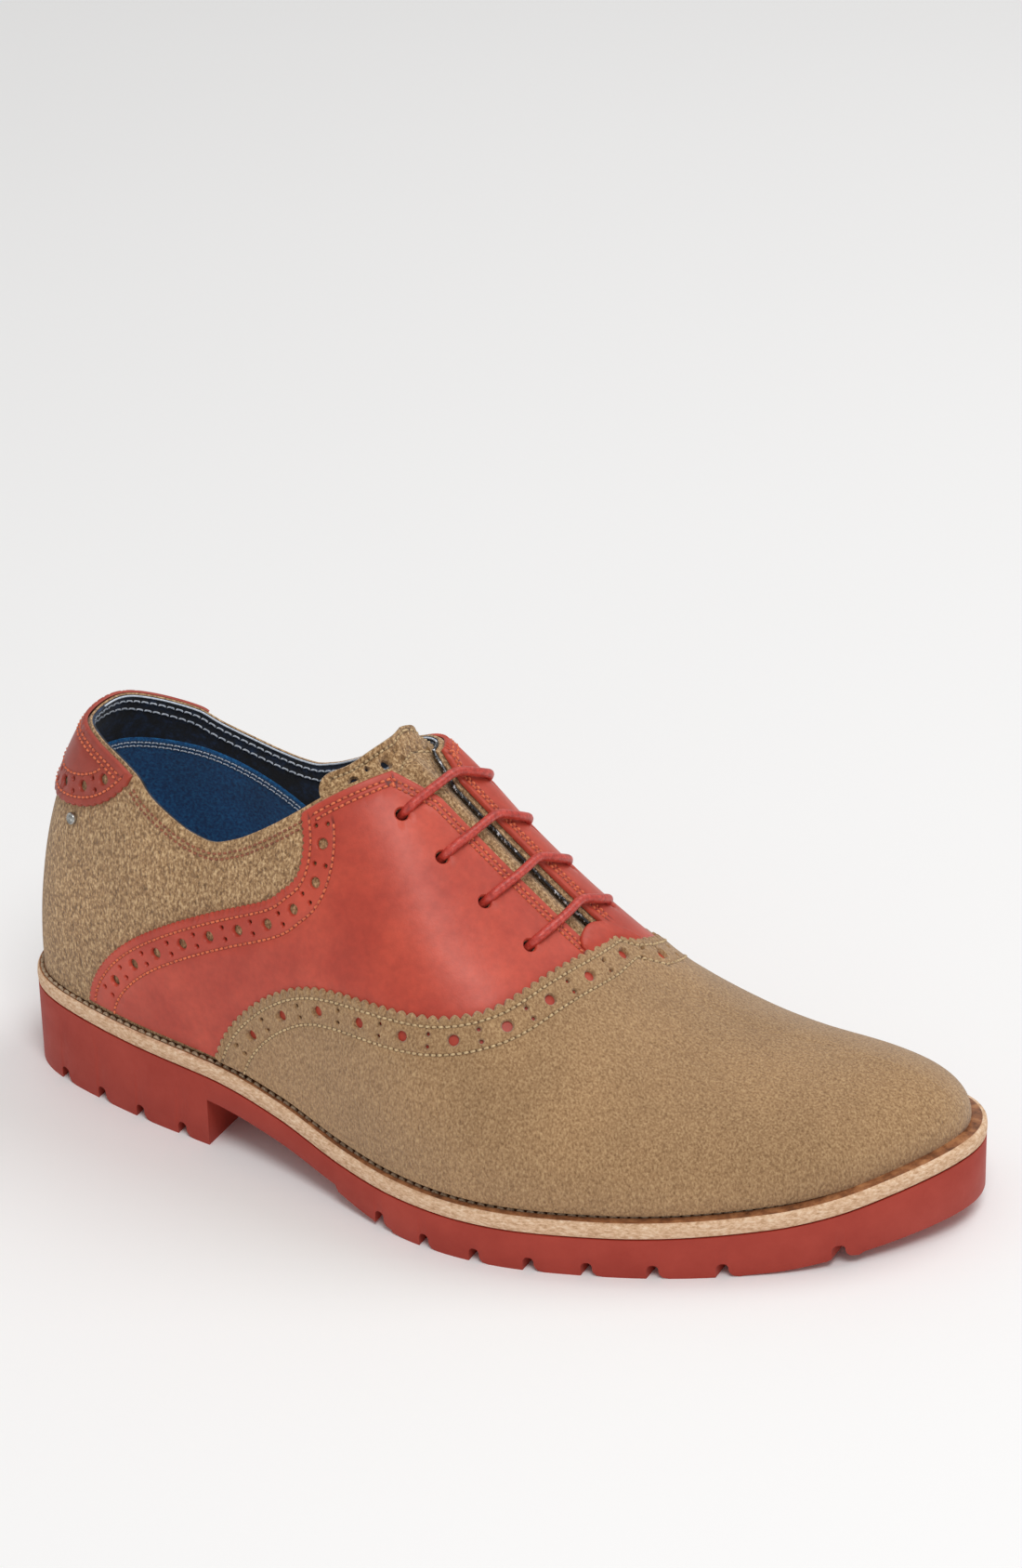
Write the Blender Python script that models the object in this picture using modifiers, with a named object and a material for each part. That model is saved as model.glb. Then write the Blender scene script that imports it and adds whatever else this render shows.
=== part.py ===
"""A right saddle shoe: sole unit, welt, lasted upper and its overlays.

The shoe is worked out from the foot shape it was lasted on. One table gives the sole's plan
outline, one the crest line over the foot, one the fullness of each rib between them. Every
leather piece is a patch of that surface with its own thickness. X runs from heel to toe, the
outer side of the foot is -Y and the floor is Z = 0. Tables are in shares of the named sizes.
"""
import math

import bmesh
import bpy
import numpy as np
from mathutils import Vector
from mathutils.geometry import delaunay_2d_cdt

# Driving sizes, in metres
LENGTH = 0.303            # sole, heel to toe
WIDTH = 0.116             # sole, across the ball
CREST = 0.143             # highest point of the crest line above the floor
TREAD = 0.0123            # rubber under the forefoot
HEEL_RISE = 0.0147        # how much higher the seat lies than the forefoot
TOE_LIFT = 0.0117         # rise of the sole's top at the tip
TOE_SPRING = 0.0070       # rise of the tread at the tip
SHANK = 0.0076            # rubber between the heel and the tread
WELT = 0.0048             # thickness of the welt
WELT_REACH = 0.013        # how far the welt reaches inwards
WALL = 0.0018             # suede of the upper with its lining
OVERLAY = 0.0012          # leather laid over the upper
TONGUE = 0.0022           # padded tongue
INSOLE = 0.0030           # footbed
VAMP = 0.0016             # suede vamp, a little proud of the saddle
TAB = 0.0010              # leather tab over the throat's end
SLACK = 0.0014            # between the tongue and the facings
MARGIN_HEEL = 0.0022      # welt showing outside the upper at the heel
MARGIN_TOE = 0.0068       # the same at the toe
GAP = 0.0003              # between pieces that touch
SEAM = 0.0008             # between overlays that lie edge to edge
BACK_HEIGHT = 0.1175      # collar above the floor at the heel
COLLAR_DIP = 0.0980       # collar above the floor below the ankle
FACING_TOP = 0.1240       # top of the facings above the floor
THROAT_GAP = 0.0041       # half the space between the facings
THROAT_SIDE = 0.0035      # its middle lies this far outside the crest line
THROAT_FLARE = 0.0050     # how much each side opens towards the top
FLARE_FROM = 0.1150       # height over the floor at which it begins to open
EYELET = 0.0024           # radius of a punched eyelet
LACE = 0.0016             # radius of the round lace
GROOVE_DEPTH = 0.0035     # between two lugs
GROOVE_WIDTH = 0.0032
BREAST = 0.0785           # front of the heel block from the back
TREAD_START = 0.1290      # step where the tread begins
RIVET = 0.0019            # radius of the metal rivet
RIVET_HEIGHT = 0.0012

BARS = 4                  # lace bars
STATIONS = 44             # ribs from heel to toe on each side
RIB_STEPS = 10            # faces up one rib
PATCH_STEP = 0.0055       # size of a face of an overlay

# Plan outline of the sole: x in shares of LENGTH, y in shares of WIDTH
OUTLINE = (
    # outer x, outer y, inner x, inner y
    (0.000, 0.000, 0.000, 0.000),
    (0.010, -0.138, 0.010, 0.129),
    (0.046, -0.233, 0.043, 0.220),
    (0.115, -0.300, 0.109, 0.284),
    (0.198, -0.353, 0.191, 0.310),
    (0.290, -0.395, 0.284, 0.297),
    (0.383, -0.457, 0.370, 0.254),
    (0.462, -0.526, 0.455, 0.233),
    (0.535, -0.572, 0.541, 0.276),
    (0.611, -0.576, 0.620, 0.349),
    (0.687, -0.532, 0.700, 0.405),
    (0.763, -0.461, 0.776, 0.425),
    (0.838, -0.360, 0.856, 0.414),
    (0.908, -0.237, 0.926, 0.372),
    (0.966, -0.070, 0.979, 0.277),
    (1.000, 0.118, 1.000, 0.118),
)
# Crest line, one row for each row of the outline: x, y and z in shares of LENGTH, WIDTH, CREST
CREST_LINE = (
    # x, y, z
    (0.187, 0.000, 0.986),
    (0.187, 0.000, 0.986),
    (0.193, 0.000, 0.988),
    (0.210, 0.000, 0.994),
    (0.250, 0.000, 1.000),
    (0.307, 0.000, 0.993),
    (0.366, 0.000, 0.960),
    (0.429, 0.000, 0.880),
    (0.495, 0.000, 0.762),
    (0.564, 0.009, 0.630),
    (0.634, 0.022, 0.507),
    (0.700, 0.039, 0.413),
    (0.760, 0.060, 0.357),
    (0.809, 0.080, 0.335),
    (0.841, 0.098, 0.327),
    (0.859, 0.106, 0.325),
)
# Fullness of each rib: exponent of its curve on the outer and inner side, and its swell
FULLNESS = (
    # outer, inner, swell in shares of WIDTH
    (2.00, 2.00, 0.004),
    (2.00, 2.00, 0.004),
    (2.00, 2.00, 0.006),
    (2.00, 2.00, 0.010),
    (1.95, 1.95, 0.012),
    (1.90, 1.90, 0.012),
    (1.88, 2.20, 0.010),
    (1.86, 3.90, 0.012),
    (1.86, 2.75, 0.018),
    (1.90, 2.15, 0.022),
    (1.95, 1.90, 0.022),
    (2.05, 1.96, 0.020),
    (2.15, 2.04, 0.016),
    (2.20, 2.12, 0.012),
    (2.20, 2.18, 0.010),
    (2.20, 2.20, 0.010),
)
# Rise of the sole along its length, in shares of HEEL_RISE, TOE_LIFT and TOE_SPRING
RISE = (
    # x, heel, toe top, toe tread
    (0.00, 1.00, 0.00, 0.00),
    (0.13, 0.87, 0.00, 0.00),
    (0.26, 0.76, 0.00, 0.00),
    (0.35, 0.49, 0.00, 0.00),
    (0.43, 0.15, 0.00, 0.00),
    (0.50, 0.03, 0.00, 0.00),
    (0.59, 0.00, 0.00, 0.00),
    (0.72, 0.00, 0.02, 0.00),
    (0.79, 0.00, 0.08, 0.00),
    (0.86, 0.00, 0.21, 0.12),
    (0.91, 0.00, 0.42, 0.42),
    (0.95, 0.00, 0.68, 0.68),
    (1.00, 0.00, 1.00, 1.00),
)
# Height of the collar and of the facings' top edge
COLLAR = (
    # x in shares of LENGTH, then shares of the way from COLLAR_DIP to BACK_HEIGHT and to FACING_TOP
    (0.000, 1.00, 0.00),
    (0.080, 0.99, 0.00),
    (0.115, 0.86, 0.00),
    (0.159, 0.62, 0.00),
    (0.178, 0.40, 0.00),
    (0.207, 0.19, 0.00),
    (0.234, 0.05, 0.00),
    (0.256, 0.00, 0.00),
    (0.284, 0.00, 0.10),
    (0.307, 0.00, 0.24),
    (0.329, 0.00, 0.40),
    (0.354, 0.00, 0.60),
    (0.370, 0.00, 0.73),
    (0.395, 0.00, 0.89),
    (0.417, 0.00, 0.98),
    (0.431, 0.00, 1.00),
    (0.447, 0.00, 0.93),
    (0.458, 0.00, 0.84),
    (1.000, 0.00, 0.84),
)
INNER_LEAD = 0.035        # shift of the inner side of that table behind the dip
INNER_Y = 0.020           # distance from the middle at which the shift is whole
DIP_X = 0.250             # the dip's place in the table
INNER_LATE = 0.012        # shift of the inner side of that table in front of the dip
INNER_DROP = 0.0018       # how much lower the inner facing's top is
FACING_ROW = 6.0          # ribs behind this row end at the collar
THROAT_END = 0.628        # front end of the throat on the crest line, in shares of LENGTH

LAST_ROW = len(OUTLINE) - 1
TURN = 2 * LAST_ROW


def smooth(knots, values, at):
    """Monotone cubic curve through the values."""
    knots = np.asarray(knots, float)
    values = np.asarray(values, float)
    step = np.diff(knots)
    slope = np.diff(values) / step
    tangent = np.zeros(len(knots))
    same = slope[:-1] * slope[1:] > 0
    a = step[1:] + 2 * step[:-1]
    b = 2 * step[1:] + step[:-1]
    inner = np.zeros(len(slope) - 1)
    inner[same] = (a + b)[same] / (a[same] / slope[:-1][same] + b[same] / slope[1:][same])
    tangent[1:-1] = inner
    tangent[0] = slope[0]
    tangent[-1] = slope[-1]
    at = np.clip(np.asarray(at, float), knots[0], knots[-1])
    i = np.clip(np.searchsorted(knots, at) - 1, 0, len(slope) - 1)
    t = (at - knots[i]) / step[i]
    rest = 1 - t
    return (values[i] * (1 + 2 * t) * rest ** 2 + values[i + 1] * (3 - 2 * t) * t ** 2
            + step[i] * t * rest * (tangent[i] * rest - tangent[i + 1] * t))


def bends(values):
    """Second derivatives of the natural cubic spline through evenly spaced values."""
    n = len(values)
    matrix = np.eye(n)
    right = np.zeros_like(values)
    for i in range(1, n - 1):
        matrix[i, i - 1:i + 2] = (1, 4, 1)
        right[i] = 6 * (values[i - 1] - 2 * values[i] + values[i + 1])
    return np.linalg.solve(matrix, right)


def spline(values, second, at):
    """Natural cubic spline at parameters counted in knots."""
    at = np.asarray(at, float)
    i = np.clip(np.floor(at).astype(int), 0, len(values) - 2)
    t = (at - i)[..., None]
    rest = 1 - t
    return (values[i] * rest + values[i + 1] * t
            + ((rest ** 3 - rest) * second[i] + (t ** 3 - t) * second[i + 1]) / 6)


RING_WRAP = 6             # knots repeated at both ends of the closed outline


def outline_ring():
    """Knots of the closed outline, outer side first, wrapped round at both ends."""
    rows = np.array(OUTLINE)
    outer = rows[:, :2] * (LENGTH, WIDTH)
    inner = rows[-2:0:-1, 2:] * (LENGTH, WIDTH)
    ring = np.vstack([outer, inner])
    return np.vstack([ring[-RING_WRAP:], ring, ring[:RING_WRAP + 1]])


RING = outline_ring()
RING_BENDS = bends(RING)
CREST_ROWS = np.array(CREST_LINE) * (LENGTH, WIDTH, CREST)
CREST_BENDS = bends(CREST_ROWS)


def outline(turn):
    """Point of the sole's edge; turn runs 0 at the heel over LAST_ROW at the toe to TURN."""
    return spline(RING, RING_BENDS, np.mod(turn, TURN) + RING_WRAP)


def outward(turn, reach=0.01):
    """Unit normal of the outline, away from the shoe."""
    along = outline(turn + reach) - outline(turn - reach)
    normal = np.stack([along[..., 1], -along[..., 0]], -1)
    return normal / np.linalg.norm(normal, axis=-1, keepdims=True)


def inset(turn, depth):
    """Outline moved inwards by a depth."""
    return outline(turn) - outward(turn) * np.asarray(depth)[..., None]


def rise(x, column):
    """Share of one of the sole's rises at a distance from the heel."""
    table = np.array(RISE)
    return smooth(table[:, 0], table[:, column], np.asarray(x) / LENGTH)


def sole_top(x):
    """Height of the rubber's upper face."""
    return TREAD + HEEL_RISE * rise(x, 1) + TOE_LIFT * rise(x, 2)


def tread_line(x):
    """Height of the ground face at the toe."""
    return TOE_SPRING * rise(x, 3)


def feather_height(x):
    """Height of the upper's lower edge."""
    return sole_top(x) + WELT + 2 * GAP


def station(turn):
    """Row number of the tables for a turn round the outline."""
    return LAST_ROW - np.abs(np.mod(turn, TURN) - LAST_ROW)


def crest(row):
    return spline(CREST_ROWS, CREST_BENDS, np.clip(row, 0, LAST_ROW))


def crest_slope(row, reach=0.05, least=1e-6):
    """Rise of the crest line for each metre forward."""
    step = crest(row + reach) - crest(row - reach)
    return step[..., 2] * step[..., 0] / (step[..., 0] ** 2 + least)


def fullness(turn):
    """Exponent and swell of the rib at a turn."""
    table = np.array(FULLNESS)
    row = station(turn)
    knots = np.arange(len(table))
    outer = smooth(knots, table[:, 0], row)
    inner = smooth(knots, table[:, 1], row)
    side = np.where(np.mod(turn, TURN) <= LAST_ROW, outer, inner)
    return side, smooth(knots, table[:, 2], row) * WIDTH


def margin(x):
    """Welt that shows outside the upper."""
    share = np.clip(x / LENGTH, 0, 1)
    return MARGIN_HEEL + (MARGIN_TOE - MARGIN_HEEL) * share


SWELL_PEAK = 27 / 4       # makes the swell reach its full size a third of the way up
V_NEAR_CREST = 0.998      # where the crest's normal is measured, because its ribs meet in a point


def shape(turn, v):
    """Point of the lasted surface: v is 0 at the welt and 1 on the crest line."""
    turn, v = np.broadcast_arrays(np.asarray(turn, float), np.asarray(v, float))
    row = station(turn)
    top = crest(row)
    foot = inset(turn, margin(outline(turn)[..., 0]))
    exponent, swell = fullness(turn)
    angle = np.clip(v, 0, 1) * math.pi / 2
    near = np.abs(np.cos(angle)) ** (2 / exponent)
    high = np.abs(np.sin(angle)) ** (2 / exponent)
    plan = top[..., :2] + (foot - top[..., :2]) * near[..., None]
    plan = plan + outward(turn) * (swell * SWELL_PEAK * v * (1 - v) ** 2)[..., None]
    base = feather_height(foot[..., 0])
    peak = top[..., 2] + crest_slope(row) * (plan[..., 0] - top[..., 0])
    z = base + (peak - base) * high
    return np.concatenate([plan, z[..., None]], -1)


def facing(turn, v, reach=0.02):
    """Unit normal of the lasted surface, away from the foot."""
    v = np.minimum(v, V_NEAR_CREST)
    along = shape(turn + reach, v) - shape(turn - reach, v)
    up = shape(turn, np.minimum(v + reach, 1)) - shape(turn, np.maximum(v - reach, 0))
    normal = np.cross(along, up)
    return normal / np.linalg.norm(normal, axis=-1, keepdims=True)


def raised(turn, v, height):
    """Point at a height over the lasted surface."""
    return shape(turn, v) + facing(turn, v) * np.asarray(height)[..., None]


def collar_height(x, y):
    """Height of the top edge; the inner side dips a little sooner."""
    table = np.array(COLLAR)
    share = np.asarray(x) / LENGTH
    sooner = np.clip(np.asarray(y) / INNER_Y, 0, 1) * np.clip(1 - share / DIP_X, 0, 1)
    back = smooth(table[:, 0], table[:, 1], share + INNER_LEAD * sooner)
    inner = np.clip(np.asarray(y) / INNER_Y, 0, 1)
    front = smooth(table[:, 0], table[:, 2], share + INNER_LEAD * sooner - INNER_LATE * inner)
    reach = FACING_TOP - COLLAR_DIP - INNER_DROP * inner
    return COLLAR_DIP + (BACK_HEIGHT - COLLAR_DIP) * back + reach * front


def throat_half(z):
    """Half the space between the facings at a height."""
    return THROAT_GAP + THROAT_FLARE * np.clip((z - FLARE_FROM) / (FACING_TOP - FLARE_FROM), 0, 1)


def upper_edge(turn, steps=400):
    """Highest v that is still leather at a turn: the collar, the facing or the crest."""
    v = np.linspace(0, 1, steps)
    point = shape(np.full(steps, float(turn)), v)
    row = float(station(turn))
    mid = crest(np.array(row))
    open_top = point[:, 2] > collar_height(point[:, 0], point[:, 1])
    half = throat_half(point[:, 2])
    open_front = (np.abs(point[:, 1] - mid[1] + THROAT_SIDE) < half) & (point[:, 0] < THROAT_END * LENGTH)
    open_front &= row > FACING_ROW
    cut = np.nonzero(open_top | open_front)[0]
    return 1.0 if len(cut) == 0 else v[cut[0]]


# Builders
# Edge of the vamp over the saddle, from the welt to the crest line: table row and v
VAMP_EDGE = (
    (4.76, 0.000),
    (4.95, 0.080),
    (5.40, 0.180),
    (6.12, 0.273),
    (7.00, 0.338),
    (8.00, 0.419),
    (8.66, 0.517),
    (9.03, 0.613),
    (9.44, 0.760),
    (9.75, 0.887),
    (9.95, 1.000),
)
# Back edge of the saddle, from the welt to the top
SADDLE_BACK = (
    (2.84, 0.000),
    (2.92, 0.050),
    (3.19, 0.115),
    (3.72, 0.191),
    (4.53, 0.275),
    (5.33, 0.358),
    (5.59, 0.402),
    (5.77, 0.445),
    (5.82, 0.514),
    (5.71, 0.577),
)
# Lower edge of the heel patch, from the back seam to the collar
PATCH_EDGE = (
    (0.00, 0.400),
    (1.71, 0.382),
    (2.76, 0.420),
    (3.22, 0.496),
)
# Half of the tongue's outline, from the throat over the side to the top: row and distance from the crest
TONGUE_EDGE = (
    (9.95, 0.000),
    (9.80, 0.110),
    (9.00, 0.200),
    (7.60, 0.270),
    (6.60, 0.360),
    (5.95, 0.385),
    (5.84, 0.330),
    (6.15, 0.255),
    (6.44, 0.165),
    (6.67, 0.070),
    (6.82, 0.000),
)
TONGUE_INNER = 6.72              # the inner half of its top ends at this row
EYELET_ROWS = (7.10, 9.04)       # first and last eyelet, in table rows
EYELET_V = 0.753                 # height of the eyelets up their ribs
INNER_ROWS = (7.45, 9.25)        # the same on the inner side
BAR_ARCH = 0.26                  # rows by which the middle of a lace bar runs ahead of its ends
VAMP_AHEAD = 0.60                # rows by which the vamp's inner edge runs ahead of the outer one
HEEL_GROOVES = (0.063, 0.117, 0.170, 0.225)
TOE_GROOVES = (0.484, 0.538, 0.593, 0.647, 0.701, 0.760, 0.819, 0.912)
FLAT_ROW = 0.020                 # one table row in the flat pattern
FLAT_V = 0.095                   # one rib in the flat pattern
FOOT_V = 0.012                   # overlays end this share of a rib over the upper's lower edge
FOLD = 1e-6                      # what counts as on the crest line or on the toe's rib
EDGE_ROOM = 0.45                 # nodes of a pattern stay this share of a step off its edge
CURVE_POINTS = 24                # along a curved edge of a pattern


def centre():
    """Middle of the sole's plan box, which becomes the origin."""
    edge = outline(np.linspace(0, TURN, 721))
    return (edge.min(axis=0) + edge.max(axis=0)) / 2


CENTRE = centre()


def placed(points):
    """Points of the shoe, moved so that the origin is under its middle."""
    moved = np.array(points, float)
    moved[..., :2] -= CENTRE
    return moved


def clear_scene():
    for thing in list(bpy.data.objects):
        bpy.data.objects.remove(thing, do_unlink=True)


def make_collection(name):
    group = bpy.data.collections.new(name)
    bpy.context.scene.collection.children.link(group)
    return group


def finish(name, colour, roughness, metallic=0.0):
    material = bpy.data.materials.new(name)
    material.use_nodes = True
    shader = material.node_tree.nodes["Principled BSDF"]
    shader.inputs["Base Color"].default_value = (*colour, 1)
    shader.inputs["Roughness"].default_value = roughness
    shader.inputs["Metallic"].default_value = metallic
    return material


def mesh_object(name, points, faces, group, material=None, weld=0.0):
    mesh = bpy.data.meshes.new(name)
    mesh.from_pydata([tuple(p) for p in points], [], [tuple(f) for f in faces])
    if weld:
        form = bmesh.new()
        form.from_mesh(mesh)
        bmesh.ops.remove_doubles(form, verts=form.verts, dist=weld)
        form.to_mesh(mesh)
        form.free()
    thing = bpy.data.objects.new(name, mesh)
    group.objects.link(thing)
    if material:
        mesh.materials.append(material)
        mesh.shade_smooth()
    return thing


def thicken(thing, thickness, direction):
    """Leather of a thickness on the outer (1) or inner (-1) side of a sheet."""
    solid = thing.modifiers.new("Thickness", "SOLIDIFY")
    solid.thickness = thickness
    solid.offset = direction
    solid.use_even_offset = True
    solid.use_quality_normals = True


def cut(thing, cutter, operation="DIFFERENCE"):
    knife = thing.modifiers.new("Cut", "BOOLEAN")
    knife.operation = operation
    knife.solver = "EXACT"
    knife.object = cutter


def prism(name, polygon, axis, low, high, group):
    """Closed prism over a plan polygon (axis Z) or a side polygon in x and z (axis Y)."""
    form = bmesh.new()
    ends = []
    for level in (low, high):
        ring = [(x, y, level) if axis == "Z" else (x, level, y) for x, y in polygon]
        ends.append([form.verts.new(p) for p in ring])
    form.faces.new(ends[0])
    form.faces.new(ends[1])
    count = len(polygon)
    for i in range(count):
        j = (i + 1) % count
        form.faces.new((ends[0][i], ends[0][j], ends[1][j], ends[1][i]))
    bmesh.ops.recalc_face_normals(form, faces=form.faces)
    mesh = bpy.data.meshes.new(name)
    form.to_mesh(mesh)
    form.free()
    thing = bpy.data.objects.new(name, mesh)
    group.objects.link(thing)
    return thing


def hide_cutter(thing):
    thing.hide_render = True
    thing.display_type = "WIRE"


BAND_PAST = 0.01          # how far a profile runs past the sole
PLAN_POINTS = 72          # round the sole's outline
OPENING_POINTS = 60       # round the welt's opening
PROFILE_POINTS = 44       # along a side profile


def plan_polygon(depth, count=PLAN_POINTS):
    """Plan outline moved in by a depth, as even steps round the sole."""
    turn = np.linspace(0, TURN, count, endpoint=False)
    plan = inset(turn, np.full(count, depth) if np.isscalar(depth) else depth(turn))
    return [tuple(p) for p in plan - CENTRE]


def band(name, low, high, group, count=PROFILE_POINTS):
    """Side profile between two height lines, as a prism across the shoe."""
    x = np.linspace(-BAND_PAST, LENGTH + BAND_PAST, count)
    under = [(a, low(a)) for a in x] if callable(low) else low
    over = [(a, high(a)) for a in x[::-1]]
    polygon = [(a - CENTRE[0], z) for a, z in under + over]
    return prism(name, polygon, "Y", -WIDTH, WIDTH, group)


def slab(name, depth, low, high, parts, cutters, material):
    """Flat piece of the sole: its plan outline, cut to its side profile."""
    thing = prism(name, plan_polygon(depth), "Z", -BAND_PAST, CREST / 2, parts)
    thing.data.materials.append(material)
    profile = band(name + "_profile", low, high, cutters)
    hide_cutter(profile)
    cut(thing, profile, "INTERSECT")
    return thing


RAMP_RISE = 0.0054        # height of the tread's back end over the floor
RAMP_END = 0.525          # where the tread reaches the floor, in shares of LENGTH
STEP_RUN = 0.0012         # slope of the step at the tread's back end
TOE_START = 0.785         # where the toe spring begins, in shares of LENGTH
RAMP_BEND = 1.6           # exponent of the tread's rise towards its back end
SHANK_POINTS = 9          # along the shank, the tread's back end and the toe
RAMP_POINTS = 7
TOE_POINTS = 18


def ground_line(count=TOE_POINTS):
    """Underside of the rubber from behind the heel to past the toe."""
    ramp_end = RAMP_END * LENGTH
    shank = np.linspace(BREAST, TREAD_START, SHANK_POINTS)
    ramp = np.linspace(TREAD_START + STEP_RUN, ramp_end, RAMP_POINTS)
    points = [(-BAND_PAST, 0.0), (BREAST, 0.0)]
    points += [(a, float(sole_top(a)) - SHANK) for a in shank]
    run = ramp_end - TREAD_START
    points += [(a, RAMP_RISE * ((ramp_end - a) / run) ** RAMP_BEND) for a in ramp]
    toe = np.linspace(TOE_START * LENGTH, LENGTH + BAND_PAST, count)
    points += [(a, float(tread_line(a))) for a in toe]
    return points


GROOVE_TAPER = 0.7        # floor of a groove to its mouth


def groove(name, x, floor, group):
    """Box across the sole that parts two lugs."""
    half = GROOVE_WIDTH / 2
    polygon = [(x - half - CENTRE[0], -BAND_PAST), (x + half - CENTRE[0], -BAND_PAST),
               (x + half * GROOVE_TAPER - CENTRE[0], floor),
               (x - half * GROOVE_TAPER - CENTRE[0], floor)]
    return prism(name, polygon, "Y", -WIDTH, WIDTH, group)


def build_outsole(parts, cutters, material):
    thing = slab("outsole", 0.0, ground_line(), lambda x: float(sole_top(x)), parts, cutters, material)
    for i, share in enumerate(HEEL_GROOVES + TOE_GROOVES):
        x = share * LENGTH
        knife = groove(f"groove_{i + 1}", x, float(tread_line(x)) + GROOVE_DEPTH, cutters)
        hide_cutter(knife)
        cut(thing, knife)
    return thing


def build_welt(parts, cutters, material):
    thing = slab("welt", 0.0, lambda x: float(sole_top(x)) + GAP,
                 lambda x: float(sole_top(x)) + GAP + WELT, parts, cutters, material)
    opening = plan_polygon(WELT_REACH, OPENING_POINTS)
    hollow = prism("welt_opening", opening, "Z", -BAND_PAST, CREST, cutters)
    hide_cutter(hollow)
    cut(thing, hollow)
    return thing


def build_insole(parts, cutters, material):
    def depth(turn):
        return margin(outline(turn)[..., 0]) + WALL + 3 * GAP
    return slab("insole", depth, lambda x: float(feather_height(x)),
                lambda x: float(feather_height(x)) + INSOLE, parts, cutters, material)


def rib_grid():
    """Turns of all ribs and the top v of each."""
    turns = np.linspace(0, TURN, 2 * STATIONS, endpoint=False)
    tops = np.array([upper_edge(t) for t in turns])
    return turns, tops


def build_upper(parts, material, turns, tops):
    """Open sheet from the welt to the collar and facings, thickened inwards."""
    points = []
    for turn, top in zip(turns, tops):
        v = np.linspace(0, top, RIB_STEPS + 1)
        points.extend(placed(shape(np.full(len(v), turn), v)))
    faces = []
    rib = RIB_STEPS + 1
    for i in range(len(turns)):
        for j in range(RIB_STEPS):
            a = i * rib + j
            b = (i + 1) % len(turns) * rib + j
            faces.append((a, b, b + 1, a + 1))
    thing = mesh_object("upper", points, faces, parts, material, weld=1e-6)
    thicken(thing, WALL, -1)
    return thing


def flat(row, v, side):
    """Place in the flat pattern: the crest line lies at 0, the outer side below it."""
    return np.array([row * FLAT_ROW, side * (1 - v) * FLAT_V])


def unflat(points):
    """Turn and v for places in the flat pattern."""
    points = np.asarray(points, float)
    row = points[:, 0] / FLAT_ROW
    v = 1 - np.abs(points[:, 1]) / FLAT_V
    turn = np.where(points[:, 1] > 0, TURN - row, row)
    return turn, np.clip(v, 0, 1)


def paced(corners, step):
    """Points at even steps along a chain of corners, the last one left out."""
    out = []
    for a, b in zip(corners[:-1], corners[1:]):
        a, b = np.asarray(a, float), np.asarray(b, float)
        count = max(1, round(float(np.linalg.norm(b - a)) / step))
        out.extend(a + (b - a) * i / count for i in range(count))
    return out


def curved(table, side, samples=CURVE_POINTS):
    """Smooth chain through a table of rows and v on one side of the pattern."""
    rows = np.array(table)
    at = np.linspace(0, len(rows) - 1, samples)
    fine = spline(rows, bends(rows), at)
    return [flat(r, max(v, FOOT_V), side) for r, v in fine]


def inside(points, polygon):
    """Which points lie within a polygon."""
    points = np.asarray(points, float)
    result = np.zeros(len(points), bool)
    for a, b in zip(polygon, np.roll(polygon, -1, axis=0)):
        crosses = (a[1] > points[:, 1]) != (b[1] > points[:, 1])
        rise_ab = b[1] - a[1]
        x = a[0] + (points[:, 1] - a[1]) * (b[0] - a[0]) / (rise_ab if rise_ab else 1)
        result ^= crosses & (points[:, 0] < x)
    return result


def edge_distance(points, polygon):
    """Distance from points to a polygon's edge."""
    best = np.full(len(points), np.inf)
    for a, b in zip(polygon, np.roll(polygon, -1, axis=0)):
        along = b - a
        length = float(along @ along)
        share = np.clip((points - a) @ along / length, 0, 1) if length else np.zeros(len(points))
        gap = np.linalg.norm(points - (a + share[:, None] * along), axis=1)
        best = np.minimum(best, gap)
    return best


def sheet(polygon, nodes):
    """Triangles over a pattern piece, with the given inner nodes."""
    polygon = np.array(polygon)
    kept = nodes[inside(nodes, polygon) & (edge_distance(nodes, polygon) > EDGE_ROOM * PATCH_STEP)]
    points = [Vector(p) for p in np.vstack([polygon, kept])]
    edges = [(i, (i + 1) % len(polygon)) for i in range(len(polygon))]
    flat_points, _, faces = delaunay_2d_cdt(points, edges, [], 0, 1e-7)[:3]
    flat_points = np.array([tuple(p) for p in flat_points])
    middle = np.array([flat_points[list(f)].mean(axis=0) for f in faces])
    folded = (np.abs(flat_points[:, 1]) < FOLD) | (flat_points[:, 0] > LAST_ROW * FLAT_ROW - FOLD)
    good = inside(middle, polygon) & ~np.array([folded[list(f)].all() for f in faces])
    return flat_points, [f for f, ok in zip(faces, good) if ok]


def build_patch(name, polygon, nodes, lift, thickness, parts, material):
    """Leather piece of a pattern outline, laid over the lasted surface at a height."""
    points, faces = sheet(polygon, nodes)
    turn, v = unflat(points)
    heights = lift(turn, v) if callable(lift) else np.full(len(turn), lift)
    laid = placed(raised(turn, v, heights))
    thing = mesh_object(name, laid, faces, parts, material, weld=1e-6)
    form = bmesh.new()
    form.from_mesh(thing.data)
    bmesh.ops.recalc_face_normals(form, faces=form.faces)
    crown = max(form.faces, key=lambda f: f.calc_center_median().z)
    if crown.normal.z < 0:
        bmesh.ops.reverse_faces(form, faces=form.faces)
    form.to_mesh(thing.data)
    form.free()
    thing.data.shade_smooth()
    thicken(thing, thickness, 1)
    return thing


def pattern_nodes(turns, tops):
    """Grid nodes of the upper in the flat pattern."""
    nodes = []
    for turn, top in zip(turns, tops):
        side = 1 if turn > LAST_ROW else -1
        row = float(station(turn))
        nodes.extend(flat(row, v, side) for v in np.linspace(0, top, RIB_STEPS + 1))
    return np.array(nodes)


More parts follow.
